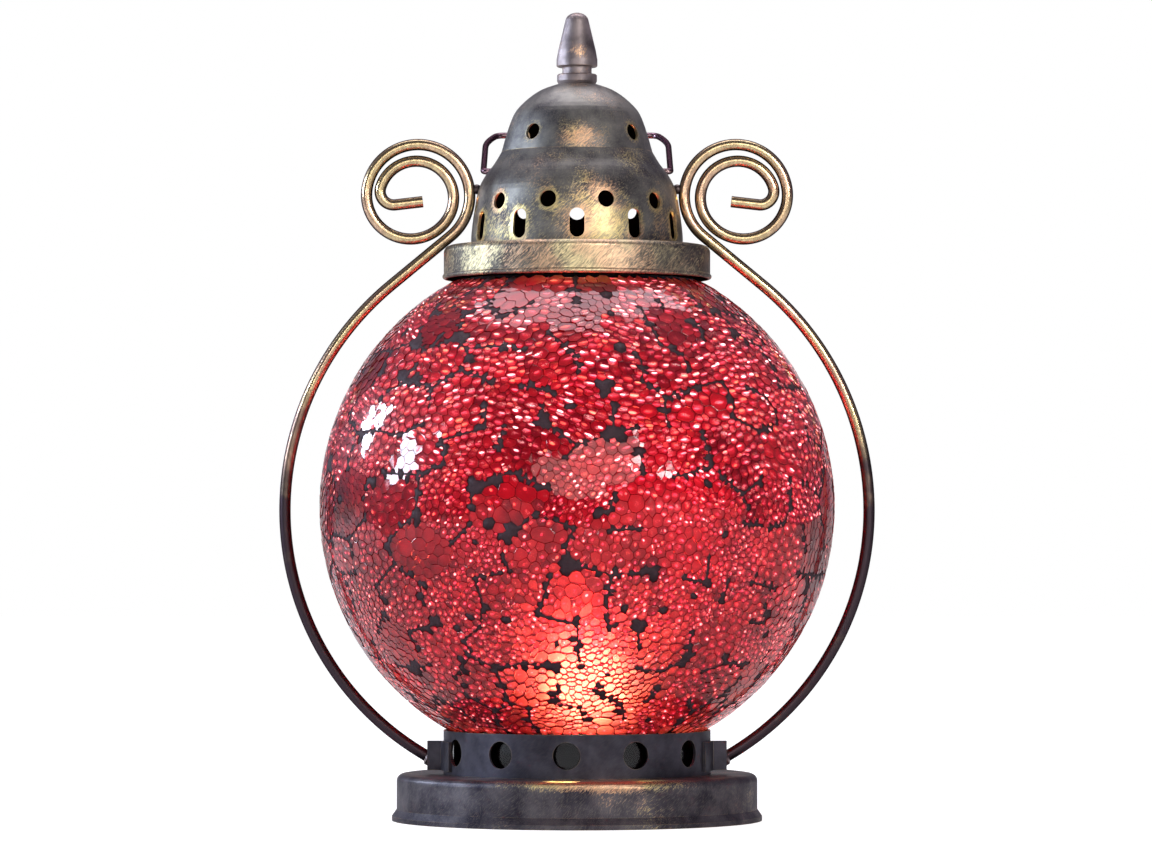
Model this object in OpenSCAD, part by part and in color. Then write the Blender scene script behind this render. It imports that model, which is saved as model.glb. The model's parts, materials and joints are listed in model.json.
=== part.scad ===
// Table lantern: a mosaic glass globe in a wire cage, over a tealight.
// +Z is up, the pan stands on z = 0 and the axis of the globe is x = y = 0.
// The photographed front faces -Y, and the two wire arms lie in the XZ plane.

/* [Base pan] */
// Radius of the pan's drum
pan_r = 54; // [50:0.5:58]
// Height of the pan's top
pan_h = 13.9; // [12:0.1:16]
// Radius of the flared hem that the lantern stands on
hem_r = 55.4; // [54.5:0.1:60]
// Height at which the drum starts to flare
flare_h = 3.4; // [2:0.1:5]
// Radius that rounds the pan's top edge
pan_edge_r = 2; // [1.5:0.1:3]
// Thickness of the pressed sheet metal
sheet = 0.8; // [0.6:0.1:1]

/* [Gallery ring] */
// Radius of the ring under the globe and of the band above it
ring_r = 40; // [39.5:0.1:41]
// Height of the ring above the pan
ring_h = 13; // [12:0.1:13.3]
// Number of round holes through the ring
ring_holes = 12; // [6:1:14]
// Diameter of a hole in the ring
ring_hole_d = 8; // [5:0.5:9]
// Turn of the first hole from the front, in degrees
ring_hole_turn = -4.4; // [-15:0.1:15]
// Inner radius of the ledge that carries the glass
ledge_r = 35; // [34.8:0.1:35.2]

/* [Globe] */
// Outer radius of the blown glass
glass_r = 76; // [75:0.5:76]
// Thickness of the glass
glass_wall = 2; // [1.5:0.1:2.5]
// Thickness of the mosaic stuck on the glass
coat = 1.5; // [1:0.1:1.5]
// Height of the globe's centre
globe_z = 93.8; // [93.5:0.1:94.2]
// Outer radius of the lower neck
lower_neck_r = 37.5; // [37:0.1:38]
// Outer radius of the upper neck
upper_neck_r = 36; // [35:0.1:37]

/* [Mosaic] */
// Number of shards of crackled glass around the globe
shards = 24; // [24:1:26]
// Number of rows of shards
shard_rows = 11; // [11:1:12]
// How far a shard's corners stray, as a part of its size
shard_stray = 0.24; // [0:0.01:0.25]
// Width of a grout line between shards
grout_w = 1.6; // [1:0.1:2]
// Depth of a grout line
grout_depth = 0.7; // [0.4:0.1:0.8]

/* [Cap band] */
// Height of the band's lower lip
band_z = 162; // [161.8:0.1:163]
// Height of the band
band_h = 10; // [9.5:0.1:10.2]
// Diameter of the bead rolled along the lower lip
lip_d = 1.6; // [1.2:0.1:1.8]
// Radius that rounds the band's top edge
band_edge_r = 2; // [1.5:0.1:2.2]
// Inner radius of the band's top plate
band_hole_r = 29; // [26:0.5:29.5]

/* [Bell] */
// Radius of the bell at its foot
bell_r = 31.8; // [31.6:0.1:31.8]
// Height of the bell
bell_h = 28.2; // [28:0.1:28.4]
// Number of slots around the bell, and of round vents above them
vents = 11; // [8:1:12]
// Width of a slot
slot_w = 4.4; // [3.5:0.1:5]
// Height of a slot
slot_h = 8.7; // [7:0.1:9]
// Height of a slot's middle above the bell's foot
slot_z = 5.3; // [5:0.1:5.6]
// Turn of the first slot from the front, in degrees
slot_turn = 0; // [-5:0.5:5]
// Diameter of a round vent in the bell
bell_vent_d = 5; // [4:0.1:5.2]
// Height of the round vents above the bell's foot
bell_vent_z = 12.4; // [12.4:0.1:13.2]

/* [Dome] */
// Radius of the dome's rim, where it sits on the bell
dome_r = 22.7; // [22.6:0.1:22.8]
// Height of the dome
dome_h = 20.4; // [19.5:0.1:21]
// Diameter of a vent in the dome
dome_vent_d = 4.8; // [4:0.1:5.2]
// Height of the dome's vents above its rim
dome_vent_z = 5.1; // [4.5:0.1:6]
// Turn of the first dome vent from the front, in degrees
dome_vent_turn = -38.5; // [-45:0.5:45]

/* [Finial] */
// Radius of the collar under the finial
collar_r = 6; // [5.5:0.1:6.2]
// Height of the collar
collar_h = 3.1; // [2.5:0.1:3.5]
// Radius of the finial's neck
finial_neck_r = 4.4; // [4:0.1:4.8]
// Height of the finial's neck
finial_neck_h = 2.2; // [1.8:0.1:2.6]
// Radius of the finial at its widest, just above the neck
finial_r = 6.15; // [5.8:0.05:6.3]
// Radius that rounds the finial's tip
finial_tip_r = 3.5; // [3:0.1:3.8]
// Height of the finial from its neck to its tip
finial_h = 18.6; // [17:0.1:19]
// Diameter of the stud inside the finial
stud_d = 3; // [2.5:0.5:3]

/* [Side arms] */
// Diameter of the arm wire
arm_d = 3.5; // [3:0.1:3.5]
// Distance of the bow's first point from the axis
arm_x = 45.1; // [45.1:0.1:45.4]
// Height of the bow's first point
arm_z = 19.2; // [19:0.1:19.4]
// Slope of the wire where the bow starts, in degrees
arm_slope = 30; // [29.8:0.1:30.2]
// Radius of the lower half of the bow
lower_bow_r = 85; // [84.8:0.1:85.2]
// Angle that the lower half of the bow turns through
lower_bow_turn = 62.1; // [61.9:0.1:62.3]
// Radius of the upper half of the bow
upper_bow_r = 87.7; // [87.5:0.1:87.9]
// Angle that the upper half of the bow turns through
upper_bow_turn = 48.3; // [48.1:0.1:48.5]
// Length of the straight run past the cap band
arm_run = 23.3; // [23:0.1:23.6]
// Radii of the scroll's three bends, from the outer turn inwards
scroll_r = [15.5, 13.2, 11.2];
// Angles that the scroll's three bends turn through
scroll_turn = [223, 158, 192];
// Radius of the hook at the scroll's heart
hook_r = 4.1; // [3.8:0.1:4.2]
// Angle that the hook turns through
hook_turn = 114; // [110:1:118]
// Length of the straight tail
tail = 8.3; // [7:0.1:9]

/* [Arm tabs] */
// Thickness of a tab
tab_t = 0.8; // [0.6:0.1:1]
// Reach of a tab beyond the gallery ring
tab_reach = 4.8; // [4:0.1:5.5]
// Height of a tab
tab_h = 8.8; // [7:0.1:10]
// Height of a tab's lower edge
tab_z = 15; // [14.6:0.1:15.5]
// Angle of the ring that a tab's soldered leg covers
tab_wrap = 21; // [16:1:28]

/* [Bail] */
// Diameter of the bail wire
bail_d = 2; // [1.6:0.1:2.2]
// Half of the distance between the bail's legs
bail_half_w = 28.1; // [28:0.1:28.2]
// Length of the bail from its pivot to its crown
bail_len = 50.3; // [50:0.1:54]
// Height of the bail's pivot above the bell's foot
bail_pivot_h = 22.5; // [22.3:0.1:22.8]
// Lean of the bail behind the upright, in degrees
bail_lean = 73; // [60:1:80]
// Radial clearance of a bail pin in its hole
pin_gap = 0.05; // [0.03:0.01:0.1]

/* [Candle] */
// Radius of the tealight's cup
tea_r = 19.2; // [18.5:0.1:19.3]
// Height of the tealight's cup
tea_h = 16; // [12:0.5:18]
// Height of the wax in the cup
wax_h = 12.4; // [9:0.1:14]
// Inner radius of the holder on the pan
holder_r = 20; // [19.8:0.1:21]
// Height of the holder's wall
holder_h = 6; // [4:0.5:8]

/* [Hidden] */
$fn = 64;

// Gap that keeps two flat faces of separate bodies from touching
rest_gap = 0.05;
// Depth by which a cutting shape passes the surface it cuts
over = 1;
// Glue behind the mosaic, which keeps its flat facets clear of the round glass
glue_gap = 0.45;
// Height at which the scroll touches the bell, above the bell's foot
contact_h = 16.8;
// How far the flat sides of a bent wire may stray from its curve
wire_sag = 0.04;
// Number of flat sides of the arm wire
arm_sides = 12;

spigot_r = ledge_r - 0.2;
spigot_h = 11.5;
holder_sheet = 0.6;
rivet_r = 1.6;
rivet_head_r = 3.2;
rivet_head_h = 1;
tea_sheet = 0.4;
wick_r = 0.8;
wick_tab_r = 6;
wick_tab_t = 0.4;
wick_sleeve_h = 3;
wick_top = 18.4;
tea_z = pan_h + holder_sheet + rivet_head_h + rest_gap;
cup_foot_r = tea_r - 0.8;
cup_lip = 0.2;
wax_gap = 0.03;

ring_z = pan_h + rest_gap;
neck_z = ring_z + sheet;
band_top = band_z + band_h;
upper_neck_room = 2;
upper_neck_top = band_top - sheet - upper_neck_room;
coat_r = glass_r + coat;
coat_reach = sqrt(pow(coat_r, 2) - pow(ring_r, 2));
coat_lat = asin(coat_reach / coat_r);
back_r = glass_r + glue_gap;
back_lat = asin(coat_reach / back_r);
shard_h = 2 * coat_lat / shard_rows;
shard_step = 180 / shards;
shard_zigzag = 0.12;
bell_top = band_top + bell_h;
dome_top = bell_top + dome_h;
finial_z = dome_top + collar_h;
pivot_z = band_top + bail_pivot_h;

// Outline of the bell, as parts of its radius and height
bell_shape = [
    [1, 0], [0.999, 0.1], [0.987, 0.235], [0.96, 0.44], [0.925, 0.617],
    [0.862, 0.755], [0.783, 0.872], [0.714, 1]
];
// Outline of the dome, as parts of its radius and height
dome_shape = [
    [1, 0], [0.978, 0.088], [0.947, 0.21], [0.879, 0.441], [0.8, 0.618],
    [0.641, 0.794], [0.47, 0.92], [0.275, 1]
];

// Numbers that scatter the shards' corners
scatter_turns = [127.1, 311.7, 74.7];
scatter_gain = 43758.5453;

// Colours
bronze = [0.30, 0.27, 0.26];
gold_bronze = [0.55, 0.45, 0.26];
copper = [0.72, 0.50, 0.36];
dark_wire = [0.25, 0.17, 0.19];
solder = [0.45, 0.38, 0.36];
red_mosaic = [0.62, 0.04, 0.07];
clear_glass = [0.85, 0.75, 0.75];
tin = [0.80, 0.80, 0.78];
wax_white = [0.96, 0.93, 0.86];
steel = [0.55, 0.55, 0.57];

// Steps of the arm wire: [radius, turn] is a bend, [0, length] is straight
arm_lead = 2.5;
arm_steps = [
    [0, arm_lead],
    [lower_bow_r, lower_bow_turn],
    [upper_bow_r, upper_bow_turn],
    [0, arm_run],
    [scroll_r[0], -scroll_turn[0]],
    [scroll_r[1], -scroll_turn[1]],
    [scroll_r[2], -scroll_turn[2]],
    [hook_r, -hook_turn],
    [0, tail]
];
arm_start = [arm_x, arm_z] - arm_lead * [cos(arm_slope), sin(arm_slope)];

// Steps of the bail wire, from one pin over the crown to the other
pin_len = 4;
pin_bend_r = 1.5;
pin_overlap = 0.5;
corner_r = 2.8;
corner_turn = 70;
taper_r = 45;
taper_turn = 90 - corner_turn;
corner_w = corner_r * sin(corner_turn) + taper_r * (1 - cos(taper_turn));
corner_l = corner_r * (1 - cos(corner_turn)) + taper_r * sin(taper_turn);
bail_leg = bail_len - corner_l - pin_bend_r;
bail_crown = 2 * (bail_half_w - corner_w);
bail_steps = [
    [0, pin_overlap],
    [pin_bend_r, -90],
    [0, bail_leg],
    [taper_r, -taper_turn],
    [corner_r, -corner_turn],
    [0, bail_crown],
    [corner_r, -corner_turn],
    [taper_r, -taper_turn],
    [0, bail_leg],
    [pin_bend_r, -90],
    [0, pin_overlap]
];
bail_start = [pin_bend_r + pin_overlap - bail_half_w, 0];

// Points along an arc, from angle a0 to angle a1
function arc(centre, r, a0, a1, steps = 6) = [
    for (i = [0:steps])
        let (a = a0 + (a1 - a0) * i / steps)
        centre + r * [cos(a), sin(a)]
];

// A point of a smooth curve that passes through the points
function curve_point(points, i, t) =
    let (
        last = len(points) - 1,
        p0 = points[max(i - 1, 0)],
        p1 = points[i],
        p2 = points[min(i + 1, last)],
        p3 = points[min(i + 2, last)]
    )
    0.5 * (2 * p1 + (p2 - p0) * t
        + (2 * p0 - 5 * p1 + 4 * p2 - p3) * pow(t, 2)
        + (3 * p1 - p0 - 3 * p2 + p3) * pow(t, 3));

// A smooth curve that passes through the points
function smooth(points, steps = 3) = concat(
    [
        for (i = [0:len(points) - 2], k = [0:steps - 1])
            curve_point(points, i, k / steps)
    ],
    [points[len(points) - 1]]
);

// The outline moved inwards, to the left of its way, by the distance t
function inset(points, t) = [
    for (i = [0:len(points) - 1])
        let (
            way = points[min(i + 1, len(points) - 1)] - points[max(i - 1, 0)],
            unit = way / norm(way)
        )
        points[i] + t * [-unit[1], unit[0]]
];

// An outline given in parts, set at its real size and height
function sized(shape, r, h, z) = [
    for (p = shape) [p[0] * r, z + p[1] * h]
];

// Where each step of a bent wire starts, as [place, heading]
function step_starts(steps, p, a, i = 0) =
    i == len(steps) ? [[p, a]] :
    let (
        r = steps[i][0],
        v = steps[i][1],
        side = sign(v),
        centre = p + side * r * [-sin(a), cos(a)],
        next = r == 0 ? p + v * [cos(a), sin(a)]
            : centre + side * r * [sin(a + v), -cos(a + v)]
    )
    concat([[p, a]], step_starts(steps, next, r == 0 ? a : a + v, i + 1));

// Rings along a bent wire, as [place, heading], whose chords stray by at most sag
function wire_rings(steps, p, a, sag) =
    let (starts = step_starts(steps, p, a))
    concat(
        [
            for (i = [0:len(steps) - 1])
                let (
                    r = steps[i][0],
                    v = steps[i][1],
                    side = sign(v),
                    p0 = starts[i][0],
                    a0 = starts[i][1],
                    centre = p0 + side * r * [-sin(a0), cos(a0)],
                    count = r == 0 ? 1 : ceil(abs(v) / (2 * acos(1 - sag / r)))
                )
                for (k = [0:count - 1])
                    let (t = r == 0 ? 0 : v * k / count)
                    [r == 0 ? p0 : centre + side * r * [sin(a0 + t), -cos(a0 + t)], a0 + t]
        ],
        [starts[len(steps)]]
    );

// Least distance between points that are at least skip places apart
function least_gap(points, skip) = min([
    for (i = [0:len(points) - 1 - skip])
        min([for (j = [i + skip:len(points) - 1]) norm(points[i] - points[j])])
]);

// The point of the list that is nearest to the target
function nearest(points, target) =
    let (
        gaps = [for (p = points) norm(p - target)],
        least = min(gaps)
    )
    [for (i = [0:len(points) - 1]) if (gaps[i] == least) points[i]][0];

// A number from 0 to 1 that looks random, and is always the same for the same three
function scatter(a, b, c) =
    let (v = scatter_gain * sin(scatter_turns * [a, b, c]))
    v - floor(v);

// A point at the distance r from the globe's centre, by latitude and turn from the front
function globe_point(r, lat, turn) =
    [0, 0, globe_z] + r * [cos(lat) * sin(turn), -cos(lat) * cos(turn), sin(lat)];

// Corner j on line b between two rows of shards, as [latitude, turn]
function shard_corner(b, j) =
    let (
        rim = b == 0 || b == shard_rows,
        stray = shard_stray * (2 * scatter(b, j, 1) - 1),
        zigzag = (b + j) % 2 == 0 ? shard_zigzag : -shard_zigzag,
        along = shard_stray * (2 * scatter(b, j, 2) - 1)
    )
    [shard_h * (b + (rim ? 0 : stray + zigzag)) - coat_lat, shard_step * (j + along)];

// Middle of the side between two shards of row k, as [latitude, turn]
function shard_side(k, i) =
    let (
        j = 2 * i + k % 2,
        turns = [shard_corner(k, j)[1], shard_corner(k + 1, j)[1]],
        lats = [shard_corner(k, j)[0], shard_corner(k + 1, j)[0]],
        along = shard_stray * shard_step * (2 * scatter(k, j, 3) - 1)
    )
    [(lats[0] + lats[1]) / 2, (turns[0] + turns[1]) / 2 + along];

// Places in the list of low points of the eight points round shard i of row k
function shard_outline(k, i) =
    let (
        count = 2 * shards,
        j = 2 * i + k % 2,
        sides = (shard_rows + 1) * count + k * shards
    )
    [
        k * count + j, k * count + (j + 1) % count, k * count + (j + 2) % count,
        sides + (i + 1) % shards,
        (k + 1) * count + (j + 2) % count, (k + 1) * count + (j + 1) % count,
        (k + 1) * count + j, sides + i
    ];

// The point p moved towards the middle by half a grout line, and out to the coat's radius
function shard_top(p, middle) =
    let (
        centre = [0, 0, globe_z],
        moved = p + grout_w / 2 * (middle - p) / norm(middle - p) - centre
    )
    centre + coat_r * moved / norm(moved);

arm_starts = step_starts(arm_steps, arm_start, arm_slope);
scroll_steps = [for (i = [4:8]) arm_steps[i]];
scroll_points = [
    for (ring = wire_rings(scroll_steps, arm_starts[4][0], arm_starts[4][1], 0.005)) ring[0]
];
echo(scroll_gap = least_gap(scroll_points, 14) - arm_d);

// A tube of flat sides swept through the rings, in the XY plane
module wire_tube(d, rings, sides) {
    points = [
        for (ring = rings, k = [0:sides - 1])
            let (b = 360 * k / sides, out = d / 2 * cos(b))
            [
                ring[0][0] - out * sin(ring[1]),
                ring[0][1] + out * cos(ring[1]),
                d / 2 * sin(b)
            ]
    ];
    last = (len(rings) - 1) * sides;
    walls = [
        for (i = [0:len(rings) - 2], k = [0:sides - 1])
            let (n = (k + 1) % sides)
            [i * sides + k, (i + 1) * sides + k, (i + 1) * sides + n, i * sides + n]
    ];
    ends = [
        [for (k = [0:sides - 1]) k],
        [for (k = [sides - 1:-1:0]) last + k]
    ];
    polyhedron(points, concat(walls, ends));
}

// Children on the right, or mirrored to the left
module on_side(side) {
    mirror([side < 0 ? 1 : 0, 0, 0])
        children();
}

// Children once for each step round the axis, set out to the front at radius r
module around(count, turn, r, z) {
    for (i = [0:count - 1])
        rotate([0, 0, turn + i * 360 / count])
            translate([0, -r, z])
                rotate([90, 0, 0])
                    children();
}

// A drill that passes through one wall, centred on it
module wall_drill(d, depth) {
    cylinder(d = d, h = depth, center = true, $fn = 32);
}

// A slot cutter with round ends that passes through one wall, centred on it
module wall_slot(w, h, depth) {
    cube([w, h - w, depth], center = true);
    for (end = [-1, 1])
        translate([0, end * (h - w) / 2, 0])
            wall_drill(w, depth);
}

module base_pan() {
    edge = arc([pan_r - pan_edge_r, pan_h - pan_edge_r], pan_edge_r, 90, 0);
    inner = arc([pan_r - pan_edge_r, pan_h - pan_edge_r], pan_edge_r - sheet, 0, 90);
    hem_t = 1.4;
    color(bronze)
        rotate_extrude($fn = 120)
            polygon(concat(
                [[rivet_r, pan_h]],
                edge,
                [[pan_r, flare_h], [hem_r, hem_t], [hem_r, 0]],
                [[hem_r - hem_t, 0], [hem_r - hem_t, hem_t / 2], [pan_r - sheet, flare_h]],
                inner,
                [[rivet_r, pan_h - sheet]]
            ));
}

module spigot_collar() {
    color(bronze)
        translate([0, 0, pan_h])
            difference() {
                cylinder(r = spigot_r, h = spigot_h);
                translate([0, 0, -over])
                    cylinder(r = spigot_r - sheet, h = spigot_h + 2 * over);
            }
}

module candle_holder() {
    color(bronze)
        translate([0, 0, pan_h])
            difference() {
                cylinder(r = holder_r + holder_sheet, h = holder_h);
                translate([0, 0, holder_sheet])
                    cylinder(r = holder_r, h = holder_h);
                translate([0, 0, -over])
                    cylinder(r = rivet_r, h = holder_sheet + 2 * over);
            }
}

module holder_rivet() {
    shank = holder_sheet + sheet;
    color(steel) {
        translate([0, 0, pan_h - sheet])
            cylinder(r = rivet_r, h = shank);
        translate([0, 0, pan_h + holder_sheet])
            cylinder(r = rivet_head_r, h = rivet_head_h);
        translate([0, 0, pan_h - sheet - rivet_head_h])
            cylinder(r = rivet_head_r, h = rivet_head_h);
    }
}

module tealight_cup() {
    rim = 0.6;
    side_r = tea_r - cup_lip;
    color(tin)
        translate([0, 0, tea_z])
            rotate_extrude()
                polygon([
                    [0, 0], [cup_foot_r, 0], [side_r, tea_h - rim],
                    [tea_r, tea_h], [tea_r - rim, tea_h],
                    [side_r - tea_sheet, tea_h - rim],
                    [cup_foot_r - tea_sheet, tea_sheet], [0, tea_sheet]
                ]);
}

module tealight_wax() {
    foot_r = cup_foot_r - tea_sheet - wax_gap;
    taper = (tea_r - cup_lip - cup_foot_r) * (wax_h - tea_sheet) / tea_h;
    edge_w = 2.5;
    dip = 1;
    color(wax_white)
        translate([0, 0, tea_z])
            rotate_extrude()
                polygon([
                    [wick_tab_r, tea_sheet],
                    [foot_r, tea_sheet],
                    [foot_r + taper, wax_h],
                    [foot_r - edge_w + taper, wax_h - dip / 2],
                    [wick_r, wax_h - dip],
                    [wick_r, tea_sheet + wick_tab_t + wick_sleeve_h],
                    [2 * wick_r, tea_sheet + wick_tab_t + wick_sleeve_h],
                    [2 * wick_r, tea_sheet + wick_tab_t],
                    [wick_tab_r, tea_sheet + wick_tab_t]
                ]);
}

module wick_tab() {
    color(steel)
        translate([0, 0, tea_z + tea_sheet])
            difference() {
                union() {
                    cylinder(r = wick_tab_r, h = wick_tab_t);
                    cylinder(r = 2 * wick_r, h = wick_tab_t + wick_sleeve_h);
                }
                translate([0, 0, wick_tab_t])
                    cylinder(r = wick_r, h = wick_sleeve_h + over);
            }
}

module tealight_wick() {
    foot = tea_sheet + wick_tab_t;
    color("black")
        translate([0, 0, tea_z + foot])
            cylinder(r = wick_r, h = wick_top - foot);
}

module gallery_ring() {
    hole_z = ring_z + ring_h / 2 + 0.3;
    color(bronze)
        difference() {
            translate([0, 0, ring_z])
                rotate_extrude($fn = 120)
                    polygon([
                        [ledge_r, 0], [ring_r, 0], [ring_r, ring_h],
                        [ring_r - sheet, ring_h], [ring_r - sheet, sheet], [ledge_r, sheet]
                    ]);
            around(ring_holes, ring_hole_turn, ring_r, hole_z)
                wall_drill(ring_hole_d, 6);
        }
}

module tab(side) {
    front = -arm_d / 2;
    color(bronze)
        on_side(side)
            translate([0, 0, tab_z])
                difference() {
                    union() {
                        translate([ring_r - 1, front - tab_t])
                            cube([tab_reach + 1, tab_t, tab_h]);
                        intersection() {
                            cylinder(r = ring_r + tab_t, h = tab_h);
                            rotate([0, 0, -tab_wrap])
                                translate([0, 0, -over])
                                    cube([2 * ring_r, ring_r, tab_h + 2 * over]);
                            translate([0, front - 2 * ring_r, -over])
                                cube([2 * ring_r, 2 * ring_r, tab_h + 2 * over]);
                        }
                    }
                    translate([0, 0, -over])
                        cylinder(r = ring_r, h = tab_h + 2 * over);
                }
}

module arm(side) {
    color(copper)
        on_side(side)
            rotate([90, 0, 0])
                wire_tube(arm_d, wire_rings(arm_steps, arm_start, arm_slope, wire_sag), arm_sides);
}

// Bead of solder round the arm's foot, which sinks into the tab behind it
module foot_solder(side) {
    bead_r = arm_d / 2 + 0.7;
    bevel = 0.6;
    color(solder)
        on_side(side)
            translate([arm_start[0], 0, arm_start[1]])
                rotate([0, 90 - arm_slope, 0])
                    rotate_extrude()
                        polygon([
                            [arm_d / 2, 0], [bead_r, bevel],
                            [bead_r, arm_lead - bevel], [arm_d / 2, arm_lead]
                        ]);
}

// Drop of solder in the wedge between the arm's outer turn and the bell
module scroll_solder(side) {
    spot = nearest(scroll_points, [bell_r, band_top + contact_h]);
    drop_r = 1.5;
    sink = 0.5;
    color(solder)
        on_side(side)
            translate([spot[0] - arm_d / 2 - sink, 0, spot[1]])
                sphere(r = drop_r, $fn = 32);
}

module glass_globe() {
    color(clear_glass)
        difference() {
            union() {
                translate([0, 0, globe_z])
                    sphere(r = glass_r, $fn = 96);
                translate([0, 0, neck_z])
                    cylinder(r = lower_neck_r, h = globe_z - neck_z);
                translate([0, 0, globe_z])
                    cylinder(r = upper_neck_r, h = upper_neck_top - globe_z);
            }
            translate([0, 0, globe_z])
                sphere(r = glass_r - glass_wall, $fn = 96);
            translate([0, 0, neck_z - glass_r])
                cylinder(r = lower_neck_r - glass_wall, h = glass_r + globe_z - neck_z);
            translate([0, 0, globe_z])
                cylinder(r = upper_neck_r - glass_wall, h = glass_r + over);
            translate([-glass_r, -glass_r, neck_z - glass_r])
                cube([2 * glass_r, 2 * glass_r, glass_r]);
        }
}

// Shards of crackled glass with grout lines between them, as one shell round the globe
module mosaic_coat() {
    count = 2 * shards;
    corners = 8;
    low_r = coat_r - grout_depth;
    places = concat(
        [for (b = [0:shard_rows], j = [0:count - 1]) shard_corner(b, j)],
        [for (k = [0:shard_rows - 1], i = [0:shards - 1]) shard_side(k, i)]
    );
    rims = [for (n = [0:len(places) - 1]) n < count || floor(n / count) == shard_rows];
    lows = [
        for (n = [0:len(places) - 1])
            globe_point(rims[n] ? coat_r : low_r, places[n][0], places[n][1])
    ];
    backs = [
        for (n = [0:len(places) - 1])
            let (lat = places[n][0])
            globe_point(back_r, rims[n] ? sign(lat) * back_lat : lat, places[n][1])
    ];
    outlines = [for (k = [0:shard_rows - 1], i = [0:shards - 1]) shard_outline(k, i)];
    centre = [0, 0, globe_z];
    ones = [for (n = [1:corners]) 1];
    middles = [
        for (outline = outlines)
            let (out = ones * [for (n = outline) lows[n]] / corners - centre)
            out / norm(out)
    ];
    tops = [
        for (s = [0:len(outlines) - 1])
            let (peak = centre + coat_r * middles[s])
            concat(
                [for (n = outlines[s]) shard_top(lows[n], peak)],
                [peak, centre + back_r * middles[s]]
            )
    ];
    first_back = len(lows);
    first_top = 2 * len(lows);
    shard_faces = [
        for (s = [0:len(outlines) - 1], n = [0:corners - 1])
            let (
                m = (n + 1) % corners,
                start = first_top + s * (corners + 2),
                low = [outlines[s][n], outlines[s][m]],
                top = [start + n, start + m]
            )
            for (face = [
                [start + corners, top[1], top[0]],
                [low[0], top[0], top[1]],
                [low[0], top[1], low[1]],
                [start + corners + 1, first_back + low[0], first_back + low[1]]
            ])
                face
    ];
    rim_faces = [
        for (b = [0, shard_rows], j = [0:count - 1])
            let (
                here = b * count + (b == 0 ? j : (j + 1) % count),
                next = b * count + (b == 0 ? (j + 1) % count : j)
            )
            [here, next, first_back + next, first_back + here]
    ];
    color(red_mosaic)
        polyhedron(
            concat(lows, backs, [for (points = tops, p = points) p]),
            concat(shard_faces, rim_faces)
        );
}

module cap_band() {
    corner = [ring_r - band_edge_r, band_top - band_edge_r];
    color(gold_bronze)
        rotate_extrude($fn = 120) {
            polygon(concat(
                [[ring_r - sheet, band_z + lip_d / 2], [ring_r, band_z + lip_d / 2]],
                arc(corner, band_edge_r, 0, 90),
                [[band_hole_r, band_top], [band_hole_r, band_top - sheet]],
                arc(corner, band_edge_r - sheet, 90, 0)
            ));
            translate([ring_r - sheet / 2, band_z + lip_d / 2])
                circle(d = lip_d, $fn = 16);
        }
}

module bell() {
    outer = smooth(sized(bell_shape, bell_r, bell_h, band_top));
    inner = inset(outer, sheet);
    flange = 2.4;
    neck_r = dome_r - 1.8;
    neck_h = 2.6;
    color(bronze)
        difference() {
            rotate_extrude($fn = 96)
                polygon(concat(
                    [[bell_r - flange, band_top]],
                    outer,
                    [[neck_r, bell_top], [neck_r, bell_top + neck_h]],
                    [[neck_r - sheet, bell_top + neck_h], [neck_r - sheet, bell_top - sheet]],
                    [for (i = [len(inner) - 2:-1:1]) inner[i]],
                    [[bell_r - sheet, band_top + sheet], [bell_r - flange, band_top + sheet]]
                ));
            around(vents, slot_turn, bell_r, band_top + slot_z)
                wall_slot(slot_w, slot_h, 6);
            around(vents, slot_turn + 180 / vents, bell_r - 1, band_top + bell_vent_z)
                wall_drill(bell_vent_d, 8);
            translate([0, 0, pivot_z])
                rotate([0, 90, 0])
                    cylinder(d = bail_d + 2 * pin_gap, h = 3 * bell_r, center = true, $fn = 32);
        }
}

module dome() {
    outer = smooth(sized(dome_shape, dome_r, dome_h, bell_top));
    inner = inset(outer, sheet);
    color(bronze)
        difference() {
            rotate_extrude($fn = 96)
                polygon(concat(
                    outer,
                    [[stud_d / 2, dome_top], [stud_d / 2, dome_top - sheet]],
                    [[dome_shape[7][0] * dome_r, dome_top - sheet]],
                    [for (i = [len(inner) - 2:-1:1]) inner[i]],
                    [[dome_r - sheet, bell_top]]
                ));
            around(4, dome_vent_turn, dome_r - 1, bell_top + dome_vent_z)
                wall_drill(dome_vent_d, 8);
        }
}

module finial_collar() {
    taper = 0.5;
    color(bronze)
        translate([0, 0, dome_top])
            rotate_extrude()
                polygon([
                    [stud_d / 2, 0], [collar_r - taper, 0], [collar_r, collar_h / 3],
                    [collar_r, collar_h - 0.3], [collar_r - 0.3, collar_h],
                    [stud_d / 2, collar_h]
                ]);
}

module finial() {
    chamfer = 0.3;
    side_h = finial_h - finial_tip_r * 0.6;
    tip = [for (p = arc([0, 0], 1, 10, 90, 8)) [finial_tip_r * p[0], finial_tip_r * 0.75 * p[1]]];
    bore_h = 12;
    color(bronze)
        translate([0, 0, finial_z])
            rotate_extrude()
                polygon(concat(
                    [[stud_d / 2, 0], [finial_neck_r, 0], [finial_neck_r, finial_neck_h]],
                    [[finial_r - chamfer, finial_neck_h], [finial_r, finial_neck_h + chamfer]],
                    [[finial_r, finial_neck_h + 2.2], [finial_r - 0.5, finial_neck_h + 5]],
                    [for (p = tip) p + [0, finial_h - finial_tip_r * 0.75]],
                    [[0, bore_h], [stud_d / 2, bore_h]]
                ));
}

module finial_stud() {
    color(steel)
        translate([0, 0, dome_top - sheet - 4])
            cylinder(d = stud_d, h = 4 + sheet + collar_h + 11.5);
}

module finial_nut() {
    nut_h = 2.4;
    color(steel)
        translate([0, 0, dome_top - sheet - nut_h])
            difference() {
                cylinder(d = 6.35, h = nut_h, $fn = 6);
                translate([0, 0, -over])
                    cylinder(d = stud_d, h = nut_h + 2 * over);
            }
}

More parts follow.
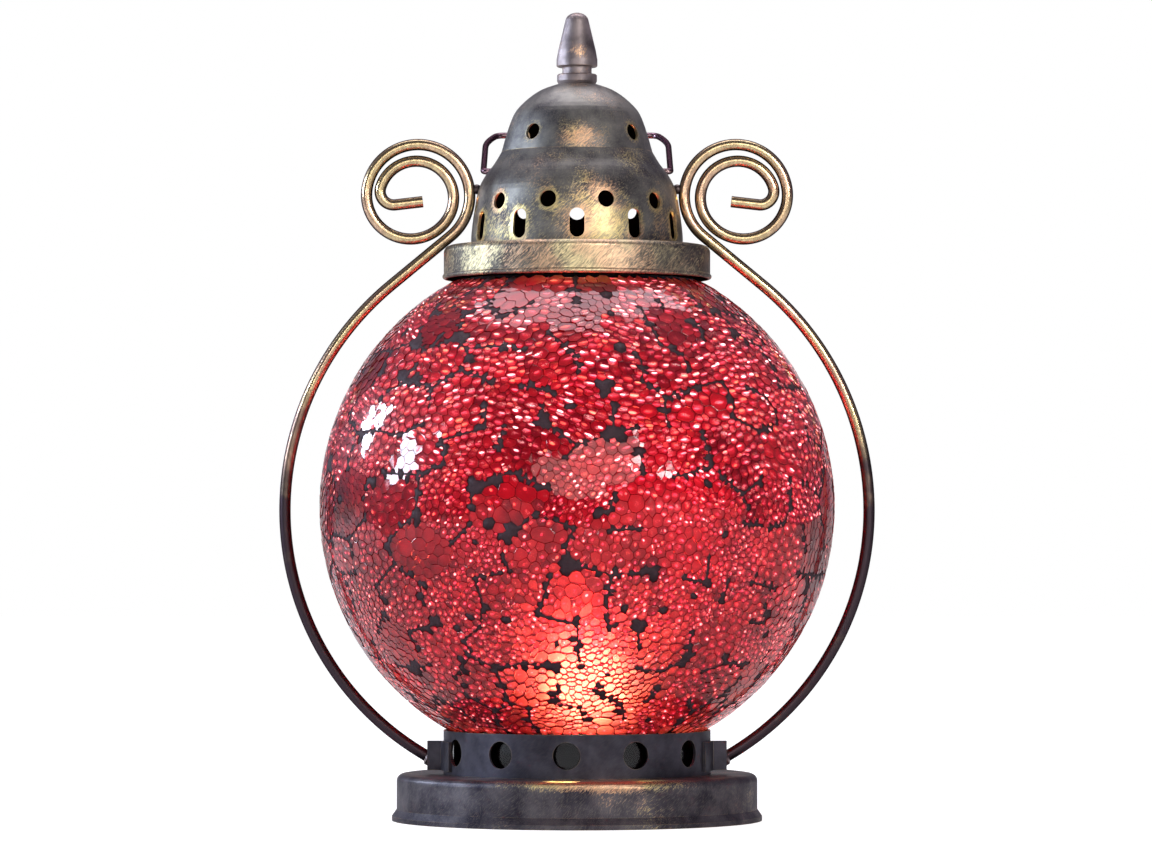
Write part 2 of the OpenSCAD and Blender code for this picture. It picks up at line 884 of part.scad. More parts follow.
module bail() {
    color(dark_wire)
        translate([0, 0, pivot_z])
            rotate([-bail_lean, 0, 0]) {
                rotate([90, 0, 0])
                    wire_tube(0.99 * bail_d, wire_rings(bail_steps, bail_start, 180, wire_sag), 16);
                for (side = [-1, 1])
                    on_side(side)
                        translate([bail_half_w - pin_len, 0, 0])
                            rotate([0, 90, 0])
                                cylinder(d = bail_d, h = pin_len - pin_bend_r);
            }
}

base_pan();
spigot_collar();
candle_holder();
holder_rivet();
tealight_cup();
tealight_wax();
wick_tab();
tealight_wick();
gallery_ring();
tab(-1);  // tab_left
tab(1);  // tab_right
arm(-1);  // arm_left
arm(1);  // arm_right
foot_solder(-1);  // foot_solder_left
foot_solder(1);  // foot_solder_right
scroll_solder(-1);  // scroll_solder_left
scroll_solder(1);  // scroll_solder_right
glass_globe();
mosaic_coat();
cap_band();
bell();
dome();
finial_collar();
finial();
finial_stud();
finial_nut();
bail();
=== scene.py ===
"""Looks of the table lantern: a lit mosaic globe in a cage of aged bronze and copper wire.

Sizes are in millimetres where a name says so or a comment does not say otherwise, and every
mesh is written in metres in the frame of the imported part.
"""

from __future__ import annotations

import json
import logging
import math
from dataclasses import dataclass, field
from enum import Enum
from typing import Any, Iterable, Optional, Sequence

import bpy
import numpy as np
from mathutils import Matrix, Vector

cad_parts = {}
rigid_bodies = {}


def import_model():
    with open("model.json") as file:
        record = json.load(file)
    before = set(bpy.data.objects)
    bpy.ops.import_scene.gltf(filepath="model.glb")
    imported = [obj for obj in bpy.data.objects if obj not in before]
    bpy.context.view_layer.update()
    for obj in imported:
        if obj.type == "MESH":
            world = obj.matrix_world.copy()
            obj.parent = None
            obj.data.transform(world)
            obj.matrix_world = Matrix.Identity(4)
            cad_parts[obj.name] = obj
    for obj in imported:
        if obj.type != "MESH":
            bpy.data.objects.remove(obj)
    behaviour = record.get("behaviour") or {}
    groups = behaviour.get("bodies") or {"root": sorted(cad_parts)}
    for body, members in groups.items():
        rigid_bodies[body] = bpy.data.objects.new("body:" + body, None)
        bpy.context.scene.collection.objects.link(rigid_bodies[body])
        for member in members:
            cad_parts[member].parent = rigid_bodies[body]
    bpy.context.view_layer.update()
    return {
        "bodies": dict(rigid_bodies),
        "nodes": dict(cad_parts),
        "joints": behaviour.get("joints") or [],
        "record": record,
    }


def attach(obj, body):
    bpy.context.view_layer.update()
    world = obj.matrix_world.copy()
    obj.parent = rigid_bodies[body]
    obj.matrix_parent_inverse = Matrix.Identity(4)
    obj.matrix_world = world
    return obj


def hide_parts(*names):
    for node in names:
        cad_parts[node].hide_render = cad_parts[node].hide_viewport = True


MM = 0.001
LOG = logging.getLogger("lantern")
Colour = tuple[float, float, float, float]


class Side(Enum):
    """The two sides of the lantern, as the sign of X."""

    LEFT = -1
    RIGHT = 1


class Body(Enum):
    """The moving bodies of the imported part."""

    BASE = "base"
    TEALIGHT = "tealight"
    CAGE = "cage"
    BAIL = "bail"


def rgb(red: float, green: float, blue: float) -> Colour:
    """A linear colour that is opaque."""
    return (red, green, blue, 1.0)


class Graph:
    """A shader or geometry tree that is written node by node."""

    def __init__(self, tree: bpy.types.NodeTree) -> None:
        """Starts the tree empty.

        Args:
            tree: The tree to write.
        """
        self.tree = tree
        tree.nodes.clear()

    def feed(self, socket: bpy.types.NodeSocket, value: Any) -> None:
        """Links an input to an output, or sets its value.

        Args:
            socket: The input.
            value: An output socket, or a plain value.
        """
        if isinstance(value, bpy.types.NodeSocket):
            self.tree.links.new(value, socket)
        elif value is not None:
            socket.default_value = value

    def add(self, kind: str, inputs: Optional[dict] = None, **settings: Any) -> bpy.types.Node:
        """Adds a node.

        Args:
            kind: The node's type.
            inputs: What feeds its inputs, by name or number.
            **settings: Its properties.

        Returns:
            The new node.
        """
        node = self.tree.nodes.new(kind)
        for name, value in settings.items():
            setattr(node, name, value)
        for key, value in (inputs or {}).items():
            self.feed(node.inputs[key], value)
        return node

    def math(self, operation: str, a: Any, b: Any = None, c: Any = None, clamp: bool = False) -> Any:
        """A number worked out from up to three others."""
        node = self.add("ShaderNodeMath", operation=operation, use_clamp=clamp)
        for socket, value in zip(node.inputs, (a, b, c)):
            self.feed(socket, value)
        return node.outputs[0]

    def vector(self, operation: str, a: Any, b: Any = None, scale: Any = None) -> Any:
        """A vector, or a number for DOT_PRODUCT and LENGTH, worked out from others."""
        node = self.add("ShaderNodeVectorMath", operation=operation)
        self.feed(node.inputs[0], a)
        self.feed(node.inputs[1], b)
        self.feed(node.inputs[3], scale)
        return node.outputs[1 if operation in ("DOT_PRODUCT", "LENGTH") else 0]

    def mix(self, factor: Any, a: Any, b: Any) -> Any:
        """One colour laid over another."""
        node = self.add("ShaderNodeMix", data_type="RGBA")
        for number, value in ((0, factor), (6, a), (7, b)):
            self.feed(node.inputs[number], value)
        return node.outputs[2]

    def lerp(self, factor: Any, a: Any, b: Any) -> Any:
        """A number between two others."""
        node = self.add("ShaderNodeMix", data_type="FLOAT")
        for number, value in ((0, factor), (2, a), (3, b)):
            self.feed(node.inputs[number], value)
        return node.outputs[0]

    def step(self, value: Any, low: Any, high: Any, start: Any = 0.0, end: Any = 1.0) -> Any:
        """A soft step from start to end, while the value goes from low to high."""
        node = self.add("ShaderNodeMapRange", interpolation_type="SMOOTHSTEP")
        for number, item in enumerate((value, low, high, start, end)):
            self.feed(node.inputs[number], item)
        return node.outputs[0]

    def noise(self, place: Any, scale: Any, detail: float = 2.0, rough: float = 0.5) -> Any:
        """Cloudy noise from 0 to 1, around 0.5."""
        node = self.add("ShaderNodeTexNoise", {"Vector": place, "Scale": scale, "Detail": detail})
        node.inputs["Roughness"].default_value = rough
        return node.outputs[0]

    def cells(self, place: Any, scale: Any, feature: str = "F1", wander: float = 1.0) -> bpy.types.Node:
        """A cell pattern.

        Args:
            place: Where to read it.
            scale: Cells for each unit.
            feature: Which of its features to measure.
            wander: How far the cells stray from a grid.

        Returns:
            The node, for its outputs.
        """
        node = self.add("ShaderNodeTexVoronoi", {"Vector": place, "Scale": scale}, feature=feature)
        node.inputs["Randomness"].default_value = wander
        return node

    def place_mm(self) -> Any:
        """The place on the piece in millimetres."""
        return self.vector("SCALE", self.add("ShaderNodeTexCoord").outputs["Object"], scale=1000.0)

    def parts(self, vector: Any) -> Sequence[Any]:
        """The x, y and z of a vector."""
        return self.add("ShaderNodeSeparateXYZ", {0: vector}).outputs

    def bump(self, height: Any, strength: float, depth_mm: float) -> Any:
        """A normal that follows a height from 0 to 1 which stands for a depth."""
        inputs = {"Strength": strength, "Distance": depth_mm * MM, "Height": height}
        return self.add("ShaderNodeBump", inputs).outputs[0]

    def surface(self, inputs: dict) -> bpy.types.Node:
        """Adds the main shader.

        Args:
            inputs: What feeds its inputs.

        Returns:
            The shader.
        """
        return self.add("ShaderNodeBsdfPrincipled", inputs)

    def output(self, shader: Any) -> None:
        """Ends a material with a shader."""
        self.add("ShaderNodeOutputMaterial", {"Surface": shader})


class Group:
    """A shader group or a geometry tree with named sockets."""

    KINDS = {
        "float": "NodeSocketFloat",
        "int": "NodeSocketInt",
        "vector": "NodeSocketVector",
        "colour": "NodeSocketColor",
        "material": "NodeSocketMaterial",
        "geometry": "NodeSocketGeometry",
    }

    def __init__(self, name: str, kind: str, inputs: dict[str, str], outputs: dict[str, str]) -> None:
        """Makes the tree and its sockets.

        Args:
            name: The tree's name.
            kind: ShaderNodeTree or GeometryNodeTree.
            inputs: Kind of each named input.
            outputs: Kind of each named output.
        """
        self.tree = bpy.data.node_groups.new(name, kind)
        self.graph = Graph(self.tree)
        for way, sockets in (("INPUT", inputs), ("OUTPUT", outputs)):
            for socket, word in sockets.items():
                self.tree.interface.new_socket(socket, in_out=way, socket_type=self.KINDS[word])
        self.inputs = self.graph.add("NodeGroupInput").outputs
        self.end = self.graph.add("NodeGroupOutput")

    def finish(self, **values: Any) -> bpy.types.NodeTree:
        """Feeds the outputs.

        Args:
            **values: What feeds each output.

        Returns:
            The tree.
        """
        for name, value in values.items():
            self.graph.feed(self.end.inputs[name], value)
        return self.tree


class Effects:
    """Effects that several finishes share, each built once."""

    _trees: dict[str, bpy.types.NodeTree] = {}

    @classmethod
    def use(cls, graph: Graph, name: str, inputs: dict) -> Any:
        """Places an effect in a material.

        Args:
            graph: The material's tree.
            name: The effect's name, which is a method of this class.
            inputs: Values of its inputs.

        Returns:
            The outputs of the placed group.
        """
        if name not in cls._trees:
            cls._trees[name] = getattr(cls, name)()
        node = graph.add("ShaderNodeGroup", node_tree=cls._trees[name])
        for key, value in inputs.items():
            graph.feed(node.inputs[key], value)
        return node.outputs

    @staticmethod
    def rubbed() -> bpy.types.NodeTree:
        """Gilding rubbed over dark patina with slanted scratches, its hue, and the patina's clouds."""
        inputs = dict.fromkeys(("Twist", "Cover", "Patch", "Fine", "Near"), "float")
        outputs = dict.fromkeys(("Rub", "Hue", "Tone", "Grain", "Scratch"), "float")
        group = Group("rubbed", "ShaderNodeTree", inputs, outputs)
        g, given = group.graph, group.inputs
        place = g.place_mm()
        height = g.parts(place)[2]
        turn = g.math("MULTIPLY", height, given["Twist"])
        wobble = g.math("MULTIPLY", g.noise(place, 0.05), 0.25)
        turned = g.add("ShaderNodeVectorRotate", rotation_type="Z_AXIS")
        g.feed(turned.inputs["Vector"], place)
        g.feed(turned.inputs["Angle"], g.math("ADD", turn, wobble))
        along = g.vector("MULTIPLY", turned.outputs[0], (1.0, 1.0, 0.28))
        coarse = g.step(g.noise(along, given["Fine"], 3.0, 0.65), 0.42, 0.66)
        thin = g.step(g.noise(along, g.math("MULTIPLY", given["Fine"], 2.6), 1.0), 0.5, 0.66)
        strokes = g.math("MAXIMUM", g.math("MULTIPLY", coarse, 0.75), thin)
        patch = g.noise(place, given["Patch"], 4.0, 0.62)
        amount = g.math("ADD", patch, g.math("MULTIPLY", strokes, 0.26))
        # Near adds gold at given places, which are partly rubbed wear and partly painted highlights.
        amount = g.math("ADD", amount, g.math("MULTIPLY", given["Near"], 0.36))
        low = g.math("SUBTRACT", 1.06, given["Cover"])
        wide = g.step(amount, low, g.math("ADD", low, 0.26))
        rub = g.math("MULTIPLY", wide, g.math("ADD", g.math("MULTIPLY", strokes, 0.55), 0.45), clamp=True)
        hue = g.step(g.noise(place, 0.07, 2.0), 0.42, 0.6)
        tone, grain = g.noise(place, 0.1, 3.0, 0.6), g.noise(place, 2.2, 4.0, 0.7)
        return group.finish(Rub=rub, Hue=hue, Tone=tone, Grain=grain, Scratch=thin)

    @staticmethod
    def row() -> bpy.types.NodeTree:
        """Nearness to a row of round or tall places round the axis."""
        names = ("Count", "Turn", "Height", "Radius", "Size", "Tall", "Flat", "Reach")
        group = Group("row", "ShaderNodeTree", dict.fromkeys(names, "float"), {"Near": "float"})
        g, given = group.graph, group.inputs
        x, y, z = g.parts(g.place_mm())
        angle = g.math("ARCTAN2", x, g.math("MULTIPLY", y, -1.0))
        half = g.math("DIVIDE", math.pi, given["Count"])
        angle = g.math("SUBTRACT", angle, g.math("RADIANS", given["Turn"]))
        turn = g.math("WRAP", angle, half, g.math("MULTIPLY", half, -1.0))
        across = g.math("MULTIPLY", turn, given["Radius"])
        over = g.math("ABSOLUTE", g.math("SUBTRACT", z, given["Height"]))
        up = g.math("MAXIMUM", g.math("SUBTRACT", over, given["Tall"]), 0.0)
        up = g.math("MULTIPLY", up, given["Flat"])
        far = g.math("SQRT", g.math("ADD", g.math("MULTIPLY", across, across), g.math("MULTIPLY", up, up)))
        free = g.math("SUBTRACT", far, given["Size"])
        return group.finish(Near=g.step(free, 0.0, given["Reach"], 1.0, 0.0))

    @staticmethod
    def inward() -> bpy.types.NodeTree:
        """Whether the surface faces the lantern's axis, as the inside of a cap does."""
        group = Group("inward", "ShaderNodeTree", {}, {"Inside": "float"})
        g = group.graph
        flat = g.vector("NORMALIZE", g.vector("MULTIPLY", g.place_mm(), (1.0, 1.0, 0.0)))
        normal = g.add("ShaderNodeNewGeometry").outputs["True Normal"]
        return group.finish(Inside=g.step(g.vector("DOT_PRODUCT", flat, normal), -0.4, -0.15, 1.0, 0.0))

    @staticmethod
    def edges() -> bpy.types.NodeTree:
        """Wear along edges, broken up by noise."""
        group = Group("edges", "ShaderNodeTree", {"Reach": "float", "Break": "float"}, {"Wear": "float"})
        g, given = group.graph, group.inputs
        round_off = g.add("ShaderNodeBevel", {"Radius": given["Reach"]}, samples=6).outputs[0]
        normal = g.add("ShaderNodeNewGeometry").outputs["Normal"]
        turn = g.math("SUBTRACT", 1.0, g.vector("DOT_PRODUCT", round_off, normal))
        broken = g.step(g.noise(g.place_mm(), given["Break"], 3.0), 0.36, 0.62)
        return group.finish(Wear=g.math("MULTIPLY", g.step(turn, 0.008, 0.13), broken, clamp=True))


@dataclass(frozen=True)
class Finish:
    """A finish whose material is built once and then shared."""

    name: str

    def material(self) -> bpy.types.Material:
        """The material, built on first use. Glowing surfaces aren't lamps: the flame's lamp gives their light."""
        found = bpy.data.materials.get(self.name)
        if found is None:
            found = bpy.data.materials.new(self.name)
            found.use_nodes = True
            found.cycles.emission_sampling = "NONE"
            self.paint(Graph(found.node_tree))
        return found

    def paint(self, graph: Graph) -> None:
        """Writes the material's tree."""
        raise NotImplementedError

    def dress(self, piece: bpy.types.Object) -> None:
        """Puts the material in every slot of a piece that has slots."""
        for slot in piece.material_slots:
            slot.material = self.material()


@dataclass(frozen=True)
class WearAndHighlight:
    """A row of places round the axis, or one place, where the gilding shows: rows round holes are rubbed wear, and
    single places are partly rubbed wear and partly painted highlights.
    """

    count: int
    turn: float
    height: float
    radius: float
    size: float = 0.0
    tall: float = 0.0
    flat: float = 1.0
    reach: float = 2.2
    weight: float = 1.0

    def near(self, graph: Graph) -> Any:
        """How near the surface is to one of the places, from 0 to 1."""
        names = ("count", "turn", "height", "radius", "size", "tall", "flat", "reach")
        given = {name.capitalize(): float(getattr(self, name)) for name in names}
        return graph.math("MULTIPLY", Effects.use(graph, "row", given)["Near"], self.weight)


@dataclass(frozen=True)
class AgedBronze(Finish):
    """Dark patinated sheet with gilding rubbed through it, gold places that are partly painted highlights, and
    near-black where it faces the axis.
    """

    dark: Colour = rgb(0.030, 0.027, 0.036)
    pale: Colour = rgb(0.105, 0.10, 0.10)
    gilt: Colour = rgb(0.84, 0.67, 0.30)
    rose: Colour = rgb(0.86, 0.52, 0.30)
    scratch: float = 0.3
    cover: float = 0.42
    patch: float = 0.055
    twist: float = -0.031
    fine: float = 1.7
    wear: float = 0.8
    reach_mm: float = 0.5
    pits: float = 0.25
    rough: float = 0.42
    # Places where the gilding shows; single places are partly painted highlights.
    worn: tuple[WearAndHighlight, ...] = ()

    def paint(self, graph: Graph) -> None:
        """Writes the material's tree."""
        near: Any = 0.0
        for row in self.worn:
            near = graph.math("MAXIMUM", near, row.near(graph))
        given = {"Twist": self.twist, "Cover": self.cover, "Patch": self.patch, "Fine": self.fine, "Near": near}
        rubbed = Effects.use(graph, "rubbed", given)
        edges = Effects.use(graph, "edges", {"Reach": self.reach_mm * MM, "Break": 0.25})
        rub = graph.math("MAXIMUM", rubbed["Rub"], graph.math("MULTIPLY", edges["Wear"], self.wear))
        patina = graph.mix(graph.step(rubbed["Tone"], 0.22, 0.78), self.dark, self.pale)
        patina = graph.mix(graph.math("MULTIPLY", rubbed["Scratch"], self.scratch), patina, rgb(0.44, 0.40, 0.31))
        bare = graph.mix(rub, patina, graph.mix(rubbed["Hue"], self.gilt, self.rose))
        # Near-black, matte and not metallic where the surface faces the axis.
        faces_axis = Effects.use(graph, "inward", {})["Inside"]
        height = graph.math("ADD", graph.math("MULTIPLY", rubbed["Grain"], self.pits), rub)
        rough = graph.lerp(rub, self.rough, 0.27)
        rough = graph.math("ADD", rough, graph.math("MULTIPLY", rubbed["Grain"], 0.08))
        shader = graph.surface({
            "Base Color": graph.mix(faces_axis, bare, rgb(0.0025, 0.002, 0.002)),
            "Metallic": graph.lerp(faces_axis, graph.lerp(rub, 0.82, 1.0), 0.0),
            "Roughness": graph.lerp(faces_axis, rough, 0.85),
            "Specular IOR Level": 0.0,
            "Normal": graph.bump(height, 0.35, 0.12),
        })
        graph.output(shader.outputs[0])


@dataclass(frozen=True)
class PolishedWire(Finish):
    """Copper plated wire, lighter higher up and darker lower down, with a painted highlight: its faces that turn to
    the front and back are painted bright and its sides dark.
    """

    bright: Colour = rgb(1.0, 0.66, 0.44)
    gold: Colour = rgb(1.0, 0.77, 0.42)
    dark: Colour = rgb(0.07, 0.05, 0.06)
    low_mm: float = 60.0
    high_mm: float = 175.0

    def paint(self, graph: Graph) -> None:
        """Writes the material's tree."""
        place = graph.place_mm()
        height = graph.parts(place)[2]
        rise = graph.step(height, self.low_mm, self.high_mm)
        cloud = graph.noise(place, 0.07, 3.0, 0.6)
        amount = graph.math("ADD", graph.math("MULTIPLY", rise, 0.9), graph.math("SUBTRACT", cloud, 0.5))
        bare = graph.step(amount, 0.1, 0.75)
        hue = graph.mix(graph.step(graph.noise(place, 0.05, 2.0), 0.4, 0.6), self.bright, self.gold)
        fleck = graph.step(graph.noise(graph.vector("MULTIPLY", place, (1.0, 1.0, 0.45)), 0.9, 4.0, 0.7), 0.42, 0.62)
        bare = graph.math("MULTIPLY", bare, graph.math("ADD", graph.math("MULTIPLY", fleck, 0.35), 0.65))
        # Painted highlight: faces turned to the front and back stay bright, the sides turn dark.
        painted_highlight_facing = graph.parts(graph.add("ShaderNodeTexCoord").outputs["Normal"])[1]
        bare = graph.math("MULTIPLY", bare, graph.step(graph.math("ABSOLUTE", painted_highlight_facing), 0.5, 0.82))
        grain = graph.noise(place, 1.6, 4.0, 0.7)
        shader = graph.surface({
            "Base Color": graph.mix(bare, self.dark, hue),
            "Metallic": 1.0,
            "Roughness": graph.math("ADD", graph.lerp(bare, 0.34, 0.14), graph.math("MULTIPLY", grain, 0.1)),
            "Specular Tint": rgb(0.10, 0.06, 0.10),
            "Normal": graph.bump(grain, 0.4, 0.12),
        })
        graph.output(shader.outputs[0])


@dataclass(frozen=True)
class PlainMetal(Finish):
    """Bare metal with fine grain, such as tin, steel or solder."""

    colour: Colour = rgb(0.55, 0.55, 0.56)
    stain: Colour = rgb(0.3, 0.28, 0.27)
    rough: float = 0.35
    scale: float = 0.6
    depth_mm: float = 0.05

    def paint(self, graph: Graph) -> None:
        """Writes the material's tree."""
        place = graph.place_mm()
        cloud = graph.noise(place, self.scale, 4.0, 0.65)
        shader = graph.surface({
            "Base Color": graph.mix(graph.step(cloud, 0.4, 0.7), self.colour, self.stain),
            "Metallic": 1.0,
            "Roughness": graph.math("ADD", graph.math("MULTIPLY", cloud, 0.2), self.rough - 0.1),
            "Normal": graph.bump(graph.noise(place, 3.0 * self.scale, 3.0), 0.5, self.depth_mm),
        })
        graph.output(shader.outputs[0])


@dataclass(frozen=True)
class Wax(Finish):
    """Candle wax that the flame shines into."""

    def paint(self, graph: Graph) -> None:
        """Writes the material's tree."""
        place = graph.place_mm()
        shader = graph.surface({
            "Base Color": rgb(0.92, 0.82, 0.66),
            "Roughness": graph.lerp(graph.noise(place, 0.4, 3.0), 0.25, 0.5),
            "Normal": graph.bump(graph.noise(place, 0.3, 2.0), 0.4, 0.3),
            "Subsurface Weight": 0.4,
        })
        shader.inputs["Subsurface Scale"].default_value = 0.004
        graph.output(shader.outputs[0])


@dataclass(frozen=True)
class Char(Finish):
    """The burnt wick."""

    def paint(self, graph: Graph) -> None:
        """Writes the material's tree."""
        place = graph.place_mm()
        shader = graph.surface({
            "Base Color": graph.mix(graph.noise(place, 1.5, 3.0), rgb(0.01, 0.008, 0.008), rgb(0.07, 0.05, 0.045)),
            "Roughness": 0.95,
            "Normal": graph.bump(graph.noise(place, 2.5, 3.0), 0.8, 0.3),
        })
        graph.output(shader.outputs[0])


@dataclass(frozen=True)
class Flame(Finish):
    """The flame's body: clear and bluish at its foot, yellow-white above."""

    foot_mm: float = 31.5
    tip_mm: float = 49.0

    def paint(self, graph: Graph) -> None:
        """Writes the material's tree."""
        rise = graph.step(graph.parts(graph.place_mm())[2], self.foot_mm, self.tip_mm)
        hot = graph.mix(graph.step(rise, 0.05, 0.3), rgb(0.25, 0.2, 0.9), rgb(1.0, 0.62, 0.22))
        hue = graph.mix(graph.step(rise, 0.6, 1.0), hot, rgb(1.0, 0.42, 0.1))
        shader = graph.surface({
            "Base Color": rgb(1.0, 0.75, 0.4),
            "Roughness": 0.6,
            "Emission Color": hue,
            "Emission Strength": 30.0,
        })
        clear = graph.add("ShaderNodeBsdfTransparent")
        mixed = graph.add("ShaderNodeMixShader", {0: 0.4, 1: clear.outputs[0], 2: shader.outputs[0]})
        graph.output(mixed.outputs[0])


@dataclass(frozen=True)
class BlownGlass(Finish):
    """The clear globe behind the mosaic, which lets every ray but the camera's straight through."""

    def paint(self, graph: Graph) -> None:
        """Writes the material's tree."""
        place = graph.place_mm()
        glass = graph.surface({
            "Base Color": rgb(0.96, 0.93, 0.93),
            "Roughness": 0.03,
            "IOR": 1.48,
            "Transmission Weight": 1.0,
            "Normal": graph.bump(graph.noise(place, 0.05, 1.0), 0.2, 0.4),
        })
        clear = graph.add("ShaderNodeBsdfTransparent")
        camera = graph.add("ShaderNodeLightPath").outputs["Is Camera Ray"]
        mixed = graph.add("ShaderNodeMixShader", {0: camera, 1: clear.outputs[0], 2: glass.outputs[0]})
        graph.output(mixed.outputs[0])


@dataclass(frozen=True)
class Grout(Finish):
    """Dark, slightly sandy grout between clusters of chips."""

    def paint(self, graph: Graph) -> None:
        """Writes the material's tree."""
        place = graph.place_mm()
        cloud = graph.noise(place, 0.5, 3.0)
        shader = graph.surface({
            "Base Color": graph.mix(cloud, rgb(0.02, 0.010, 0.014), rgb(0.07, 0.034, 0.044)),
            "Roughness": 0.6,
            "Specular IOR Level": 0.25,
            "Normal": graph.bump(graph.noise(place, 0.9, 3.0), 0.6, 0.4),
        })
        graph.output(shader.outputs[0])


@dataclass(frozen=True)
class CrackFiller(Finish):
    """Red filler in the cracks, which lets some of the light through."""

    def paint(self, graph: Graph) -> None:
        """Writes the material's tree."""
        place = graph.place_mm()
        cloud = graph.noise(place, 0.3, 2.0)
        body = graph.surface({
            "Base Color": graph.mix(cloud, rgb(0.06, 0.004, 0.007), rgb(0.22, 0.008, 0.014)),
            "Roughness": 0.12,
        })
        clear = graph.add("ShaderNodeBsdfTransparent", {"Color": rgb(0.7, 0.04, 0.025)})
        mixed = graph.add("ShaderNodeMixShader", {0: 0.7, 1: clear.outputs[0], 2: body.outputs[0]})
        graph.output(mixed.outputs[0])


